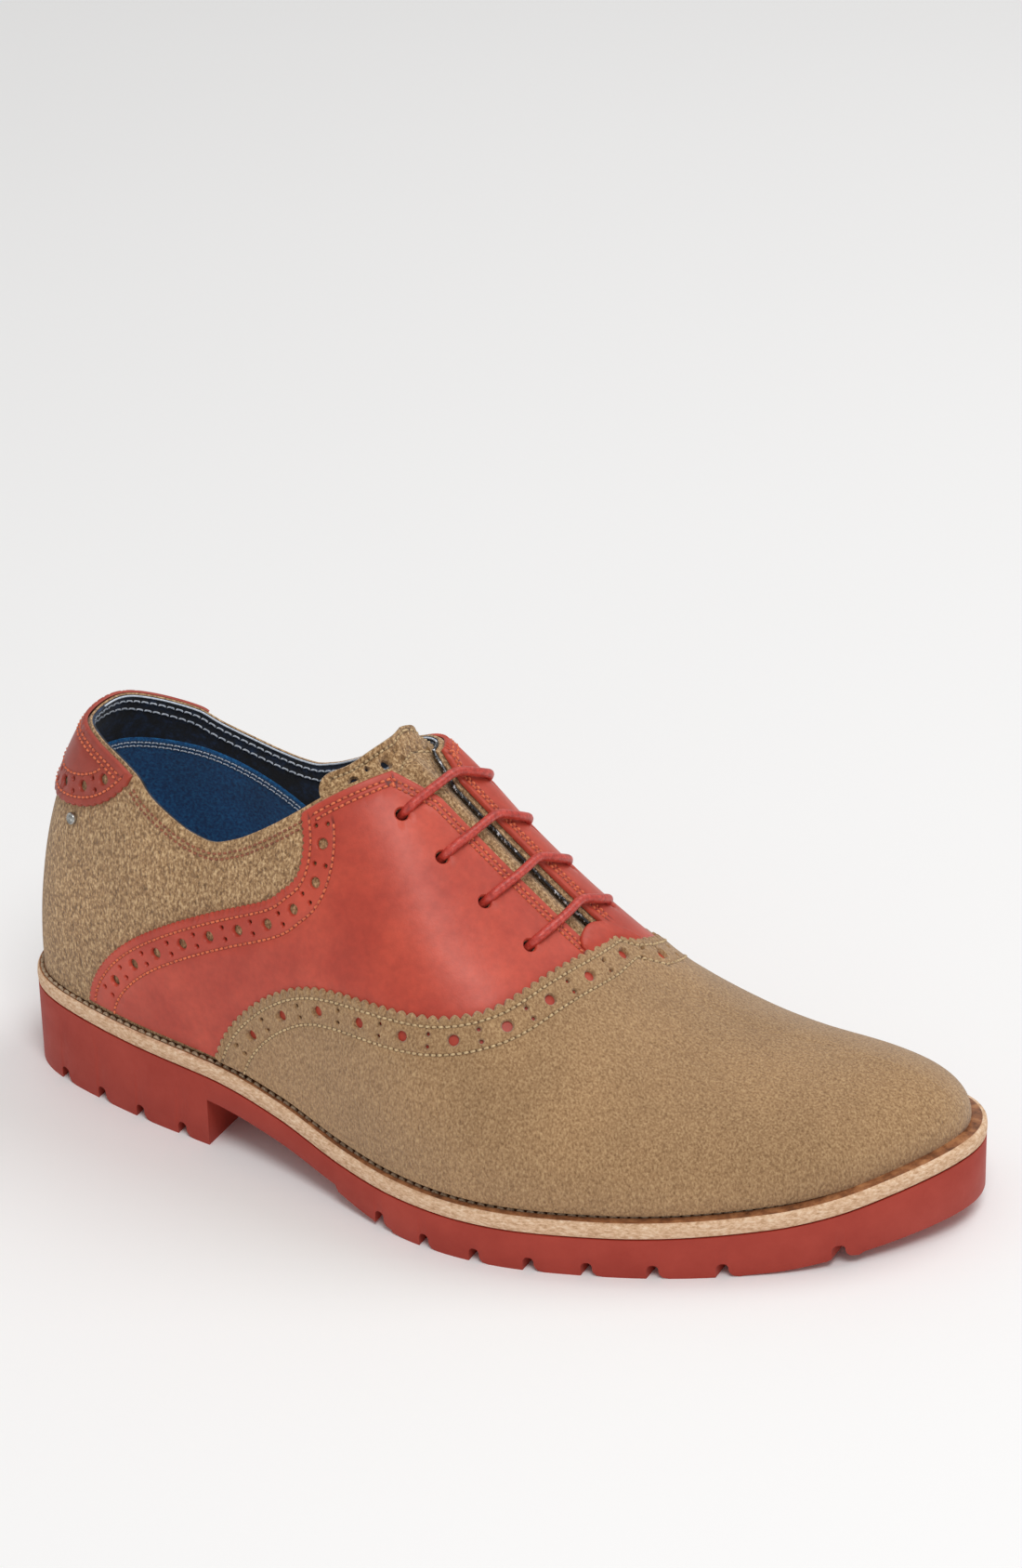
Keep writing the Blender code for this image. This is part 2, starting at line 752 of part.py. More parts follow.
def build_vamp(parts, material, nodes):
    step = PATCH_STEP
    outer = curved(VAMP_EDGE, -1)
    inner = curved(ahead(VAMP_EDGE, 1), 1)[::-1]
    toe_in = flat(LAST_ROW, FOOT_V, 1)
    toe_out = flat(LAST_ROW, FOOT_V, -1)
    middle = flat(LAST_ROW, 1, 1)
    chain = paced(outer + inner[1:] + [toe_in], step) + paced([toe_in, middle, toe_out, outer[0]], step)
    return build_patch("vamp", chain, nodes, GAP, VAMP, parts, material)


def top_chain(side, first, last, count, drop):
    """Points just below the upper's top edge between two rows."""
    chain = []
    for row in np.linspace(first, last, count):
        turn = row if side < 0 else TURN - row
        chain.append(flat(row, upper_edge(turn) - drop, side))
    return chain


def ahead(table, side):
    """The table for one side: the inner one runs ahead of the outer between welt and crest."""
    if side < 0:
        return table
    return tuple((row + 4 * VAMP_AHEAD * v * (1 - v), v) for row, v in table)


def shifted(table, row_shift, v_shift):
    return tuple((row + row_shift, max(v + v_shift, 0)) for row, v in table)


FACING_SIDE = 0.1         # the saddle's front edge stops at the facing
PATCH_END = 0.03          # the heel patch is this share of a rib high at its ends
TOP_DROP = 0.006          # the overlays stop this share of a rib below the upper's edge
TOP_POINTS = 26           # along the saddle's top, the patch's lower edge and its top
PATCH_LOW_POINTS = 12
PATCH_TOP_POINTS = 20


def build_saddle(name, side, parts, material, nodes):
    """Saddle of one side: behind the vamp, up to the facing and the collar."""
    back = curved(SADDLE_BACK, side)
    front_table = shifted(ahead(VAMP_EDGE, side), -SEAM / FLAT_ROW, SEAM / FLAT_V)
    front = [p for p in curved(front_table, side) if abs(p[1]) > FACING_SIDE * FLAT_V]
    last_row = front[-1][0] / FLAT_ROW
    first_row = back[-1][0] / FLAT_ROW
    top = top_chain(side, first_row, last_row, TOP_POINTS, TOP_DROP)
    start = flat(SADDLE_BACK[0][0], FOOT_V, side)
    chain = paced(back + top[1:] + front[::-1] + [start], PATCH_STEP)
    return build_patch(name, chain, nodes, GAP, OVERLAY, parts, material)


def build_heel_patch(parts, material, nodes):
    """Patch over the back seam at the collar; laid out with the heel in the middle."""
    at = np.linspace(0, len(PATCH_EDGE) - 1, PATCH_LOW_POINTS)
    outer = spline(np.array(PATCH_EDGE), bends(np.array(PATCH_EDGE)), at)
    turn_v = [(-r, v) for r, v in outer[::-1]] + [(r, v) for r, v in outer[1:]]
    last = PATCH_EDGE[-1][0]

    def top_v(t):
        return upper_edge(t % TURN) - TOP_DROP
    low = [np.array([t * FLAT_ROW, min(v, top_v(t) - PATCH_END) * FLAT_V]) for t, v in turn_v]
    high = [np.array([t * FLAT_ROW, top_v(t) * FLAT_V]) for t in np.linspace(last, -last, PATCH_TOP_POINTS)]
    polygon = np.array(paced(low + high + [low[0]], PATCH_STEP))
    turns = np.where(nodes[:, 1] > 0, -nodes[:, 0], nodes[:, 0])
    local = np.column_stack([turns, FLAT_V - np.abs(nodes[:, 1])])
    points, faces = sheet(polygon, local)
    turn = points[:, 0] / FLAT_ROW
    v = points[:, 1] / FLAT_V
    laid = placed(raised(turn, v, np.full(len(turn), GAP)))
    thing = mesh_object("heel_patch", laid, [tuple(f) for f in faces], parts, material)
    form = bmesh.new()
    form.from_mesh(thing.data)
    back = min(form.faces, key=lambda f: f.calc_center_median().x)
    if back.normal.x > 0:
        bmesh.ops.reverse_faces(form, faces=form.faces)
    form.to_mesh(thing.data)
    form.free()
    thicken(thing, OVERLAY, 1)
    return thing


FLARE_ROW = 7.05          # the tongue bends outwards behind this row
FLARE_ROWS = 0.4          # rows in which it comes to its full bend
FLARE_ROOM = 0.050        # share of a rib between the upper's edge and the bend
FLARE_RUN = 0.17          # share of a rib in which the tongue rises by FLARE
FLARE = 0.0065            # how far its free end stands out
PADDING = 0.0010          # how far it swells into the gap between the facings
TONGUE_POINTS = 30        # along half its outline
TONGUE_ROWS = (5.8, 10.0)
TONGUE_HALF = 0.037       # half its width in the pattern
TONGUE_GRID = 0.9         # its own step in shares of PATCH_STEP


def build_tongue(parts, material):
    """Padded sheet under the facings, flared where it stands above them."""
    rows = np.array(TONGUE_EDGE)
    half = spline(rows, bends(rows), np.linspace(0, len(rows) - 1, TONGUE_POINTS))
    outer = [flat(row, 1 - away, -1) for row, away in half]
    inner = [flat(max(row, TONGUE_INNER), 1 - away, 1) for row, away in half[::-1]]
    step = PATCH_STEP * TONGUE_GRID
    rows = np.arange(*TONGUE_ROWS, step / FLAT_ROW) * FLAT_ROW
    nodes = np.array([(a, b) for a in rows for b in np.arange(-TONGUE_HALF, TONGUE_HALF, step)])

    def lift(turn, v):
        row = station(turn)
        edge = np.array([max(upper_edge(r), upper_edge(TURN - r)) for r in row])
        above = np.sin(np.clip((v - edge - FLARE_ROOM) / FLARE_RUN, 0, 1) * math.pi / 2)
        back = np.clip((FLARE_ROW - row) / FLARE_ROWS, 0, 1)
        aside = (shape(turn, v)[:, 1] - crest(row)[:, 1] + THROAT_SIDE) / THROAT_GAP
        swell = np.where(row > FLARE_ROW, PADDING * np.clip(1 - aside ** 2, 0, 1), 0)
        return FLARE * above * back + swell - (WALL + SLACK + TONGUE)
    return build_patch("tongue", paced(outer + inner[1:], PATCH_STEP), nodes, lift, TONGUE, parts, material)


# Back edge of the tab over the throat's end: table row and v
TAB_EDGE = (
    (9.630, 0.868),
    (9.585, 0.885),
    (9.580, 0.915),
    (9.620, 0.957),
    (9.720, 1.000),
)
TAB_POINTS = 9
TAB_ROWS = (9.4, 10.0)
TAB_HALF = 0.015
TAB_ROOM = 0.06           # rows between the tab and the vamp


def build_throat_tab(parts, material):
    """Half-moon over the end of the throat, edge to edge with the vamp."""
    chain = []
    for side in (-1, 1):
        back = curved(ahead(TAB_EDGE, side), side, TAB_POINTS)
        front = curved(shifted(ahead(VAMP_EDGE, side), -TAB_ROOM, 0), side)
        front = [p for p in front if abs(p[1]) < abs(back[0][1])]
        half = front[::-1] + back
        chain += half if side < 0 else half[-2:0:-1]
    step = PATCH_STEP / 2
    rows = np.arange(*TAB_ROWS, step / FLAT_ROW) * FLAT_ROW
    nodes = np.array([(a, b) for a in rows for b in np.arange(-TAB_HALF, TAB_HALF, step)])
    outline_of_tab = paced(chain + chain[:1], step)
    return build_patch("throat_tab", outline_of_tab, nodes, 2 * GAP + OVERLAY, TAB, parts, material)


def eyelet_rows(side):
    return np.linspace(*(EYELET_ROWS if side < 0 else INNER_ROWS), BARS)


def aim(normal):
    """Rotation that turns +Z to a direction."""
    return Vector(normal).to_track_quat("Z", "Y")


PUNCH_DEPTH = 0.012       # longer than any leather it goes through


def punch_eyelets(outer_saddle, inner_saddle, upper, cutters):
    """Round holes through saddle and upper, square to the leather."""
    for side, saddle in ((-1, outer_saddle), (1, inner_saddle)):
        for i, row in enumerate(eyelet_rows(side)):
            turn = row if side < 0 else TURN - row
            place = placed(shape(np.array(turn), np.array(EYELET_V)))
            form = bmesh.new()
            bmesh.ops.create_cone(form, cap_ends=True, segments=12, radius1=EYELET, radius2=EYELET,
                                  depth=PUNCH_DEPTH)
            label = "outer" if side < 0 else "inner"
            mesh = bpy.data.meshes.new(f"punch_{label}_{i + 1}")
            form.to_mesh(mesh)
            form.free()
            punch = bpy.data.objects.new(mesh.name, mesh)
            cutters.objects.link(punch)
            punch.location = place
            punch.rotation_mode = "QUATERNION"
            punch.rotation_quaternion = aim(facing(np.array(turn), np.array(EYELET_V)))
            hide_cutter(punch)
            cut(saddle, punch)
            cut(upper, punch)


BAR_POINTS = 13           # along one bar
BAR_ROOM = 0.0003         # more room under a bar, because its path is a chain of chords


def build_lace_bars(parts, material):
    """Bars from eyelet to eyelet, each in one plane over the facings."""
    height = 2 * GAP + OVERLAY + LACE + BAR_ROOM
    for i, (row, inner_row) in enumerate(zip(eyelet_rows(-1), eyelet_rows(1))):
        data = bpy.data.curves.new(f"lace_bar_{i + 1}", "CURVE")
        data.dimensions = "3D"
        data.bevel_depth = LACE
        data.bevel_resolution = 2
        data.use_fill_caps = True
        line = data.splines.new("POLY")
        share = np.linspace(0, 1, BAR_POINTS)
        v = 1 - np.abs(share - 0.5) * 2 * (1 - EYELET_V)
        rows = row + share * (inner_row - row) + BAR_ARCH * np.sin(share * math.pi)
        turn = np.where(share <= 0.5, rows, TURN - rows)
        path = placed(raised(turn, v, np.full(BAR_POINTS, height)))
        line.points.add(BAR_POINTS - 1)
        for point, place in zip(line.points, path):
            point.co = (*place, 1)
        bar = bpy.data.objects.new(f"lace_bar_{i + 1}", data)
        data.materials.append(material)
        parts.objects.link(bar)


# Plain rivet on the outer side of the heel: turn and v
RIVET_PLACE = (2.23, 0.359)
RIVET_TOP = 0.7           # the rivet's top to its foot


def build_rivet(parts, material):
    """Plain domed rivet on the outer side of the heel."""
    turn, v = np.array(RIVET_PLACE[0]), np.array(RIVET_PLACE[1])
    form = bmesh.new()
    bmesh.ops.create_cone(form, cap_ends=True, segments=20, radius1=RIVET, radius2=RIVET * RIVET_TOP,
                          depth=RIVET_HEIGHT)
    mesh = bpy.data.meshes.new("rivet")
    form.to_mesh(mesh)
    form.free()
    rivet = bpy.data.objects.new("rivet", mesh)
    mesh.materials.append(material)
    mesh.shade_smooth()
    parts.objects.link(rivet)
    rivet.location = placed(raised(turn, v, np.array(GAP + RIVET_HEIGHT / 2)))
    rivet.rotation_mode = "QUATERNION"
    rivet.rotation_quaternion = aim(facing(turn, v))


def main():
    clear_scene()
    parts = make_collection("saddle_shoe")
    cutters = make_collection("cutters")
    suede = finish("suede", (0.36, 0.25, 0.14), 0.95)
    red = finish("red_leather", (0.55, 0.085, 0.05), 0.5)
    rubber = finish("red_rubber", (0.35, 0.04, 0.03), 0.75)
    natural = finish("natural_leather", (0.72, 0.52, 0.35), 0.7)
    blue = finish("blue_suede", (0.01, 0.11, 0.3), 0.9)
    lace = finish("red_lace", (0.58, 0.05, 0.03), 0.6)
    metal = finish("pewter", (0.45, 0.44, 0.42), 0.35, 1.0)
    build_outsole(parts, cutters, rubber)
    build_welt(parts, cutters, natural)
    build_insole(parts, cutters, blue)
    turns, tops = rib_grid()
    upper = build_upper(parts, suede, turns, tops)
    nodes = pattern_nodes(turns, tops)
    build_vamp(parts, suede, nodes)
    outer_saddle = build_saddle("saddle_outer", -1, parts, red, nodes)
    inner_saddle = build_saddle("saddle_inner", 1, parts, red, nodes)
    build_heel_patch(parts, red, nodes)
    build_tongue(parts, suede)
    build_throat_tab(parts, red)
    punch_eyelets(outer_saddle, inner_saddle, upper, cutters)
    build_lace_bars(parts, lace)
    build_rivet(parts, metal)


main()
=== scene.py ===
"""Looks of a right saddle shoe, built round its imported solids.

Every leather piece is cut from a flat pattern of the lasted surface, with its own thickness,
gimped edge, punched holes and stitches. The surface is worked out as in the shoe's own source:
one table for the sole's outline, one for the crest line, one for the ribs between them.
X runs from heel to toe, the outer side of the foot is -Y and the floor is Z = 0, in metres.
"""
import math

import bmesh
import bpy
import numpy as np
from mathutils import Matrix, Vector
from mathutils.geometry import delaunay_2d_cdt
from mathutils.kdtree import KDTree


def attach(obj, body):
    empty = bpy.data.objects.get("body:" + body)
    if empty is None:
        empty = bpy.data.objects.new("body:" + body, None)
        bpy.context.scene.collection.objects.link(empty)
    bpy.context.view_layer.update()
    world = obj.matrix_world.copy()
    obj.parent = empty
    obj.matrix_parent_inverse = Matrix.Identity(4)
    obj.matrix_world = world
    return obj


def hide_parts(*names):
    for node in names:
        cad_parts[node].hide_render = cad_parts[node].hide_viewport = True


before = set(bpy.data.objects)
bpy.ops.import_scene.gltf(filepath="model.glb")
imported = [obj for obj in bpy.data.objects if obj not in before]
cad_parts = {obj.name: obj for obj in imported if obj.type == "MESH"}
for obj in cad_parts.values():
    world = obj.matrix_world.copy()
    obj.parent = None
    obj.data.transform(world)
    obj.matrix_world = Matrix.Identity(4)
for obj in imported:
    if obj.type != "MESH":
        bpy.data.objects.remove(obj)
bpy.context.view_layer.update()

# Driving sizes, in metres
LENGTH = 0.303            # sole, heel to toe
WIDTH = 0.116             # sole, across the ball
CREST = 0.143             # highest point of the crest line above the floor
TREAD = 0.0123            # rubber under the forefoot
HEEL_RISE = 0.0147        # how much higher the seat lies than the forefoot
TOE_LIFT = 0.0117         # rise of the sole's top at the tip
TOE_SPRING = 0.0070       # rise of the tread at the tip
SHANK = 0.0076            # rubber between the heel and the tread
WELT = 0.0048             # thickness of the welt
WALL = 0.0018             # suede of the upper with its lining
OVERLAY = 0.0012          # leather laid over the upper
TONGUE = 0.0022           # padded tongue
VAMP = 0.0016             # suede vamp, a little proud of the saddle
TAB = 0.0010              # leather tab over the throat's end
SLACK = 0.0014            # between the tongue and the facings
MARGIN_HEEL = 0.0022      # welt showing outside the upper at the heel
MARGIN_TOE = 0.0068       # the same at the toe
GAP = 0.0003              # between pieces that touch
BACK_HEIGHT = 0.1175      # collar above the floor at the heel
COLLAR_DIP = 0.0980       # collar above the floor below the ankle
FACING_TOP = 0.1240       # top of the facings above the floor
THROAT_GAP = 0.0041       # half the space between the facings
THROAT_SIDE = 0.0035      # its middle lies this far outside the crest line
THROAT_FLARE = 0.0050     # how much each side opens towards the top
FLARE_FROM = 0.1150       # height over the floor at which it begins to open
EYELET = 0.0019           # radius of a punched eyelet, drawn tight round the lace
GROOVE_DEPTH = 0.0035     # between two lugs
GROOVE_WIDTH = 0.0032
BREAST = 0.0785           # front of the heel block from the back
TREAD_START = 0.1290      # step where the tread begins
RIVET = 0.0019            # radius of the metal rivet
RIVET_HEIGHT = 0.0012

BARS = 4                  # lace bars

# Plan outline of the sole: x in shares of LENGTH, y in shares of WIDTH
OUTLINE = (
    # outer x, outer y, inner x, inner y
    (0.000, 0.000, 0.000, 0.000),
    (0.010, -0.138, 0.010, 0.129),
    (0.046, -0.233, 0.043, 0.220),
    (0.115, -0.300, 0.109, 0.284),
    (0.198, -0.353, 0.191, 0.310),
    (0.290, -0.395, 0.284, 0.297),
    (0.383, -0.457, 0.370, 0.254),
    (0.462, -0.526, 0.455, 0.233),
    (0.535, -0.572, 0.541, 0.276),
    (0.611, -0.576, 0.620, 0.349),
    (0.687, -0.532, 0.700, 0.405),
    (0.763, -0.461, 0.776, 0.425),
    (0.838, -0.360, 0.856, 0.414),
    (0.908, -0.237, 0.926, 0.372),
    (0.966, -0.070, 0.979, 0.277),
    (1.000, 0.118, 1.000, 0.118),
)
# Crest line, one row for each row of the outline: x, y and z in shares of LENGTH, WIDTH, CREST
CREST_LINE = (
    # x, y, z
    (0.187, 0.000, 0.986),
    (0.187, 0.000, 0.986),
    (0.193, 0.000, 0.988),
    (0.210, 0.000, 0.994),
    (0.250, 0.000, 1.000),
    (0.307, 0.000, 0.993),
    (0.366, 0.000, 0.960),
    (0.429, 0.000, 0.880),
    (0.495, 0.000, 0.762),
    (0.564, 0.009, 0.630),
    (0.634, 0.022, 0.507),
    (0.700, 0.039, 0.413),
    (0.760, 0.060, 0.357),
    (0.809, 0.080, 0.335),
    (0.841, 0.098, 0.327),
    (0.859, 0.106, 0.325),
)
# Fullness of each rib: exponent of its curve on the outer and inner side, and its swell
FULLNESS = (
    # outer, inner, swell in shares of WIDTH
    (2.00, 2.00, 0.004),
    (2.00, 2.00, 0.004),
    (2.00, 2.00, 0.006),
    (2.00, 2.00, 0.010),
    (1.95, 1.95, 0.012),
    (1.90, 1.90, 0.012),
    (1.88, 2.20, 0.010),
    (1.86, 3.90, 0.012),
    (1.86, 2.75, 0.018),
    (1.90, 2.15, 0.022),
    (1.95, 1.90, 0.022),
    (2.05, 1.96, 0.020),
    (2.15, 2.04, 0.016),
    (2.20, 2.12, 0.012),
    (2.20, 2.18, 0.010),
    (2.20, 2.20, 0.010),
)
# Rise of the sole along its length, in shares of HEEL_RISE, TOE_LIFT and TOE_SPRING
RISE = (
    # x, heel, toe top, toe tread
    (0.00, 1.00, 0.00, 0.00),
    (0.13, 0.87, 0.00, 0.00),
    (0.26, 0.76, 0.00, 0.00),
    (0.35, 0.49, 0.00, 0.00),
    (0.43, 0.15, 0.00, 0.00),
    (0.50, 0.03, 0.00, 0.00),
    (0.59, 0.00, 0.00, 0.00),
    (0.72, 0.00, 0.02, 0.00),
    (0.79, 0.00, 0.08, 0.00),
    (0.86, 0.00, 0.21, 0.12),
    (0.91, 0.00, 0.42, 0.42),
    (0.95, 0.00, 0.68, 0.68),
    (1.00, 0.00, 1.00, 1.00),
)
# Height of the collar and of the facings' top edge
COLLAR = (
    # x in shares of LENGTH, then shares of the way from COLLAR_DIP to BACK_HEIGHT and to FACING_TOP
    (0.000, 1.00, 0.00),
    (0.080, 0.99, 0.00),
    (0.115, 0.86, 0.00),
    (0.159, 0.62, 0.00),
    (0.178, 0.40, 0.00),
    (0.207, 0.19, 0.00),
    (0.234, 0.05, 0.00),
    (0.256, 0.00, 0.00),
    (0.284, 0.00, 0.10),
    (0.307, 0.00, 0.24),
    (0.329, 0.00, 0.40),
    (0.354, 0.00, 0.60),
    (0.370, 0.00, 0.73),
    (0.395, 0.00, 0.89),
    (0.417, 0.00, 0.98),
    (0.431, 0.00, 1.00),
    (0.447, 0.00, 0.93),
    (0.458, 0.00, 0.84),
    (1.000, 0.00, 0.84),
)
INNER_LEAD = 0.035        # shift of the inner side of that table behind the dip
INNER_Y = 0.020           # distance from the middle at which the shift is whole
DIP_X = 0.250             # the dip's place in the table
INNER_LATE = 0.012        # shift of the inner side of that table in front of the dip
INNER_DROP = 0.0018       # how much lower the inner facing's top is
FACING_ROW = 6.0          # ribs behind this row end at the collar
THROAT_END = 0.628        # front end of the throat on the crest line, in shares of LENGTH

SWELL_PEAK = 27 / 4       # makes the swell reach its full size a third of the way up
V_NEAR_CREST = 0.998      # where the crest's normal is measured, because its ribs meet in a point
RING_WRAP = 6             # rows by which the closed outline is wrapped round at its ends
PLAN_PLACES = 721         # at which the middle of the plan is measured

LAST_ROW = len(OUTLINE) - 1
TURN = 2 * LAST_ROW


def smooth(knots, values, at):
    """Monotone cubic curve through the values."""
    knots = np.asarray(knots, float)
    values = np.asarray(values, float)
    step = np.diff(knots)
    slope = np.diff(values) / step
    tangent = np.zeros(len(knots))
    same = slope[:-1] * slope[1:] > 0
    a = step[1:] + 2 * step[:-1]
    b = 2 * step[1:] + step[:-1]
    inner = np.zeros(len(slope) - 1)
    inner[same] = (a + b)[same] / (a[same] / slope[:-1][same] + b[same] / slope[1:][same])
    tangent[1:-1] = inner
    tangent[0] = slope[0]
    tangent[-1] = slope[-1]
    at = np.clip(np.asarray(at, float), knots[0], knots[-1])
    i = np.clip(np.searchsorted(knots, at) - 1, 0, len(slope) - 1)
    t = (at - knots[i]) / step[i]
    rest = 1 - t
    return (values[i] * (1 + 2 * t) * rest ** 2 + values[i + 1] * (3 - 2 * t) * t ** 2
            + step[i] * t * rest * (tangent[i] * rest - tangent[i + 1] * t))


def bends(values):
    """Second derivatives of the natural cubic spline through evenly spaced values."""
    n = len(values)
    matrix = np.eye(n)
    right = np.zeros_like(values)
    for i in range(1, n - 1):
        matrix[i, i - 1:i + 2] = (1, 4, 1)
        right[i] = 6 * (values[i - 1] - 2 * values[i] + values[i + 1])
    return np.linalg.solve(matrix, right)


def spline(values, second, at):
    """Natural cubic spline at parameters counted in knots."""
    at = np.asarray(at, float)
    i = np.clip(np.floor(at).astype(int), 0, len(values) - 2)
    t = (at - i)[..., None]
    rest = 1 - t
    return (values[i] * rest + values[i + 1] * t
            + ((rest ** 3 - rest) * second[i] + (t ** 3 - t) * second[i + 1]) / 6)


def outline_ring():
    """Knots of the closed outline, outer side first, wrapped round at both ends."""
    rows = np.array(OUTLINE)
    outer = rows[:, :2] * (LENGTH, WIDTH)
    inner = rows[-2:0:-1, 2:] * (LENGTH, WIDTH)
    ring = np.vstack([outer, inner])
    return np.vstack([ring[-RING_WRAP:], ring, ring[:RING_WRAP + 1]])


RING = outline_ring()
RING_BENDS = bends(RING)
CREST_ROWS = np.array(CREST_LINE) * (LENGTH, WIDTH, CREST)
CREST_BENDS = bends(CREST_ROWS)


def outline(turn):
    """Point of the sole's edge; turn runs 0 at the heel over LAST_ROW at the toe to TURN."""
    return spline(RING, RING_BENDS, np.mod(turn, TURN) + RING_WRAP)


def outward(turn, reach=0.01):
    """Unit normal of the outline, away from the shoe."""
    along = outline(turn + reach) - outline(turn - reach)
    normal = np.stack([along[..., 1], -along[..., 0]], -1)
    return normal / np.linalg.norm(normal, axis=-1, keepdims=True)


def inset(turn, depth):
    """Outline moved inwards by a depth."""
    return outline(turn) - outward(turn) * np.asarray(depth)[..., None]


def rise(x, column):
    """Share of one of the sole's rises at a distance from the heel."""
    table = np.array(RISE)
    return smooth(table[:, 0], table[:, column], np.asarray(x) / LENGTH)


def sole_top(x):
    """Height of the rubber's upper face."""
    return TREAD + HEEL_RISE * rise(x, 1) + TOE_LIFT * rise(x, 2)


def tread_line(x):
    """Height of the ground face at the toe."""
    return TOE_SPRING * rise(x, 3)


def feather_height(x):
    """Height of the upper's lower edge."""
    return sole_top(x) + WELT + 2 * GAP


def station(turn):
    """Row number of the tables for a turn round the outline."""
    return LAST_ROW - np.abs(np.mod(turn, TURN) - LAST_ROW)


def crest(row):
    return spline(CREST_ROWS, CREST_BENDS, np.clip(row, 0, LAST_ROW))


def crest_slope(row, reach=0.05, least=1e-6):
    """Rise of the crest line for each metre forward."""
    step = crest(row + reach) - crest(row - reach)
    return step[..., 2] * step[..., 0] / (step[..., 0] ** 2 + least)


def fullness(turn):
    """Exponent and swell of the rib at a turn."""
    table = np.array(FULLNESS)
    row = station(turn)
    knots = np.arange(len(table))
    outer = smooth(knots, table[:, 0], row)
    inner = smooth(knots, table[:, 1], row)
    side = np.where(np.mod(turn, TURN) <= LAST_ROW, outer, inner)
    return side, smooth(knots, table[:, 2], row) * WIDTH


def margin(x):
    """Welt that shows outside the upper."""
    share = np.clip(x / LENGTH, 0, 1)
    return MARGIN_HEEL + (MARGIN_TOE - MARGIN_HEEL) * share


def shape(turn, v):
    """Point of the lasted surface: v is 0 at the welt and 1 on the crest line."""
    turn, v = np.broadcast_arrays(np.asarray(turn, float), np.asarray(v, float))
    row = station(turn)
    top = crest(row)
    foot = inset(turn, margin(outline(turn)[..., 0]))
    exponent, swell = fullness(turn)
    angle = np.clip(v, 0, 1) * math.pi / 2
    near = np.abs(np.cos(angle)) ** (2 / exponent)
    high = np.abs(np.sin(angle)) ** (2 / exponent)
    plan = top[..., :2] + (foot - top[..., :2]) * near[..., None]
    plan = plan + outward(turn) * (swell * SWELL_PEAK * v * (1 - v) ** 2)[..., None]
    base = feather_height(foot[..., 0])
    peak = top[..., 2] + crest_slope(row) * (plan[..., 0] - top[..., 0])
    z = base + (peak - base) * high
    return np.concatenate([plan, z[..., None]], -1)


def facing(turn, v, reach=0.02):
    """Unit normal of the lasted surface, away from the foot."""
    v = np.minimum(v, V_NEAR_CREST)
    along = shape(turn + reach, v) - shape(turn - reach, v)
    up = shape(turn, np.minimum(v + reach, 1)) - shape(turn, np.maximum(v - reach, 0))
    normal = np.cross(along, up)
    return normal / np.linalg.norm(normal, axis=-1, keepdims=True)


def collar_height(x, y):
    """Height of the top edge; the inner side dips a little sooner."""
    table = np.array(COLLAR)
    share = np.asarray(x) / LENGTH
    sooner = np.clip(np.asarray(y) / INNER_Y, 0, 1) * np.clip(1 - share / DIP_X, 0, 1)
    back = smooth(table[:, 0], table[:, 1], share + INNER_LEAD * sooner)
    inner = np.clip(np.asarray(y) / INNER_Y, 0, 1)
    front = smooth(table[:, 0], table[:, 2], share + INNER_LEAD * sooner - INNER_LATE * inner)
    reach = FACING_TOP - COLLAR_DIP - INNER_DROP * inner
    return COLLAR_DIP + (BACK_HEIGHT - COLLAR_DIP) * back + reach * front


def throat_half(z):
    """Half the space between the facings at a height."""
    return THROAT_GAP + THROAT_FLARE * np.clip((z - FLARE_FROM) / (FACING_TOP - FLARE_FROM), 0, 1)


# Edge of the vamp over the saddle, from the welt to the crest line: table row and v
VAMP_EDGE = (
    (4.76, 0.000),
    (4.95, 0.080),
    (5.40, 0.180),
    (6.12, 0.273),
    (7.00, 0.338),
    (8.00, 0.419),
    (8.66, 0.517),
    (9.03, 0.613),
    (9.44, 0.760),
    (9.75, 0.887),
    (9.95, 1.000),
)
# Back edge of the saddle, from the welt to the top
SADDLE_BACK = (
    (2.84, 0.000),
    (2.92, 0.050),
    (3.19, 0.115),
    (3.72, 0.191),
    (4.53, 0.275),
    (5.33, 0.358),
    (5.59, 0.402),
    (5.77, 0.445),
    (5.82, 0.514),
    (5.71, 0.577),
)
# Lower edge of the heel patch, from the back seam to the collar
PATCH_EDGE = (
    (0.00, 0.400),
    (1.71, 0.382),
    (2.76, 0.420),
    (3.22, 0.496),
)
# Half of the tongue's outline, from the throat to the top: row and share of a rib from the crest
TONGUE_EDGE = (
    (9.95, 0.000),
    (9.80, 0.110),
    (9.00, 0.200),
    (7.60, 0.270),
    (6.60, 0.360),
    (5.95, 0.385),
    (5.84, 0.330),
    (6.15, 0.255),
    (6.44, 0.165),
    (6.66, 0.070),
    (6.72, 0.000),
)
TONGUE_INNER = 6.72              # the inner half of its top ends at this row
EYELET_ROWS = (7.10, 9.04)       # first and last eyelet, in table rows
EYELET_V = 0.753                 # height of the eyelets up their ribs
INNER_ROWS = (7.45, 9.25)        # the same on the inner side
BAR_ARCH = 0.26                  # rows by which the middle of a lace bar runs ahead of its ends
VAMP_AHEAD = 0.60                # rows by which the vamp's inner edge runs ahead of the outer one
# Grooves between the lugs, in shares of LENGTH
HEEL_GROOVES = (0.063, 0.117, 0.170, 0.225)
TOE_GROOVES = (0.484, 0.538, 0.593, 0.647, 0.701, 0.760, 0.819, 0.912)
FLAT_ROW = 0.020                 # one table row in the flat pattern
FLAT_V = 0.095                   # one rib in the flat pattern
FOOT_V = 0.012                   # overlays end this share of a rib over the upper's lower edge
FOLD = 1e-6                      # what counts as on the crest line or on the toe's rib


def centre():
    """Middle of the sole's plan box, which becomes the origin."""
    edge = outline(np.linspace(0, TURN, PLAN_PLACES))
    return (edge.min(axis=0) + edge.max(axis=0)) / 2


CENTRE = centre()


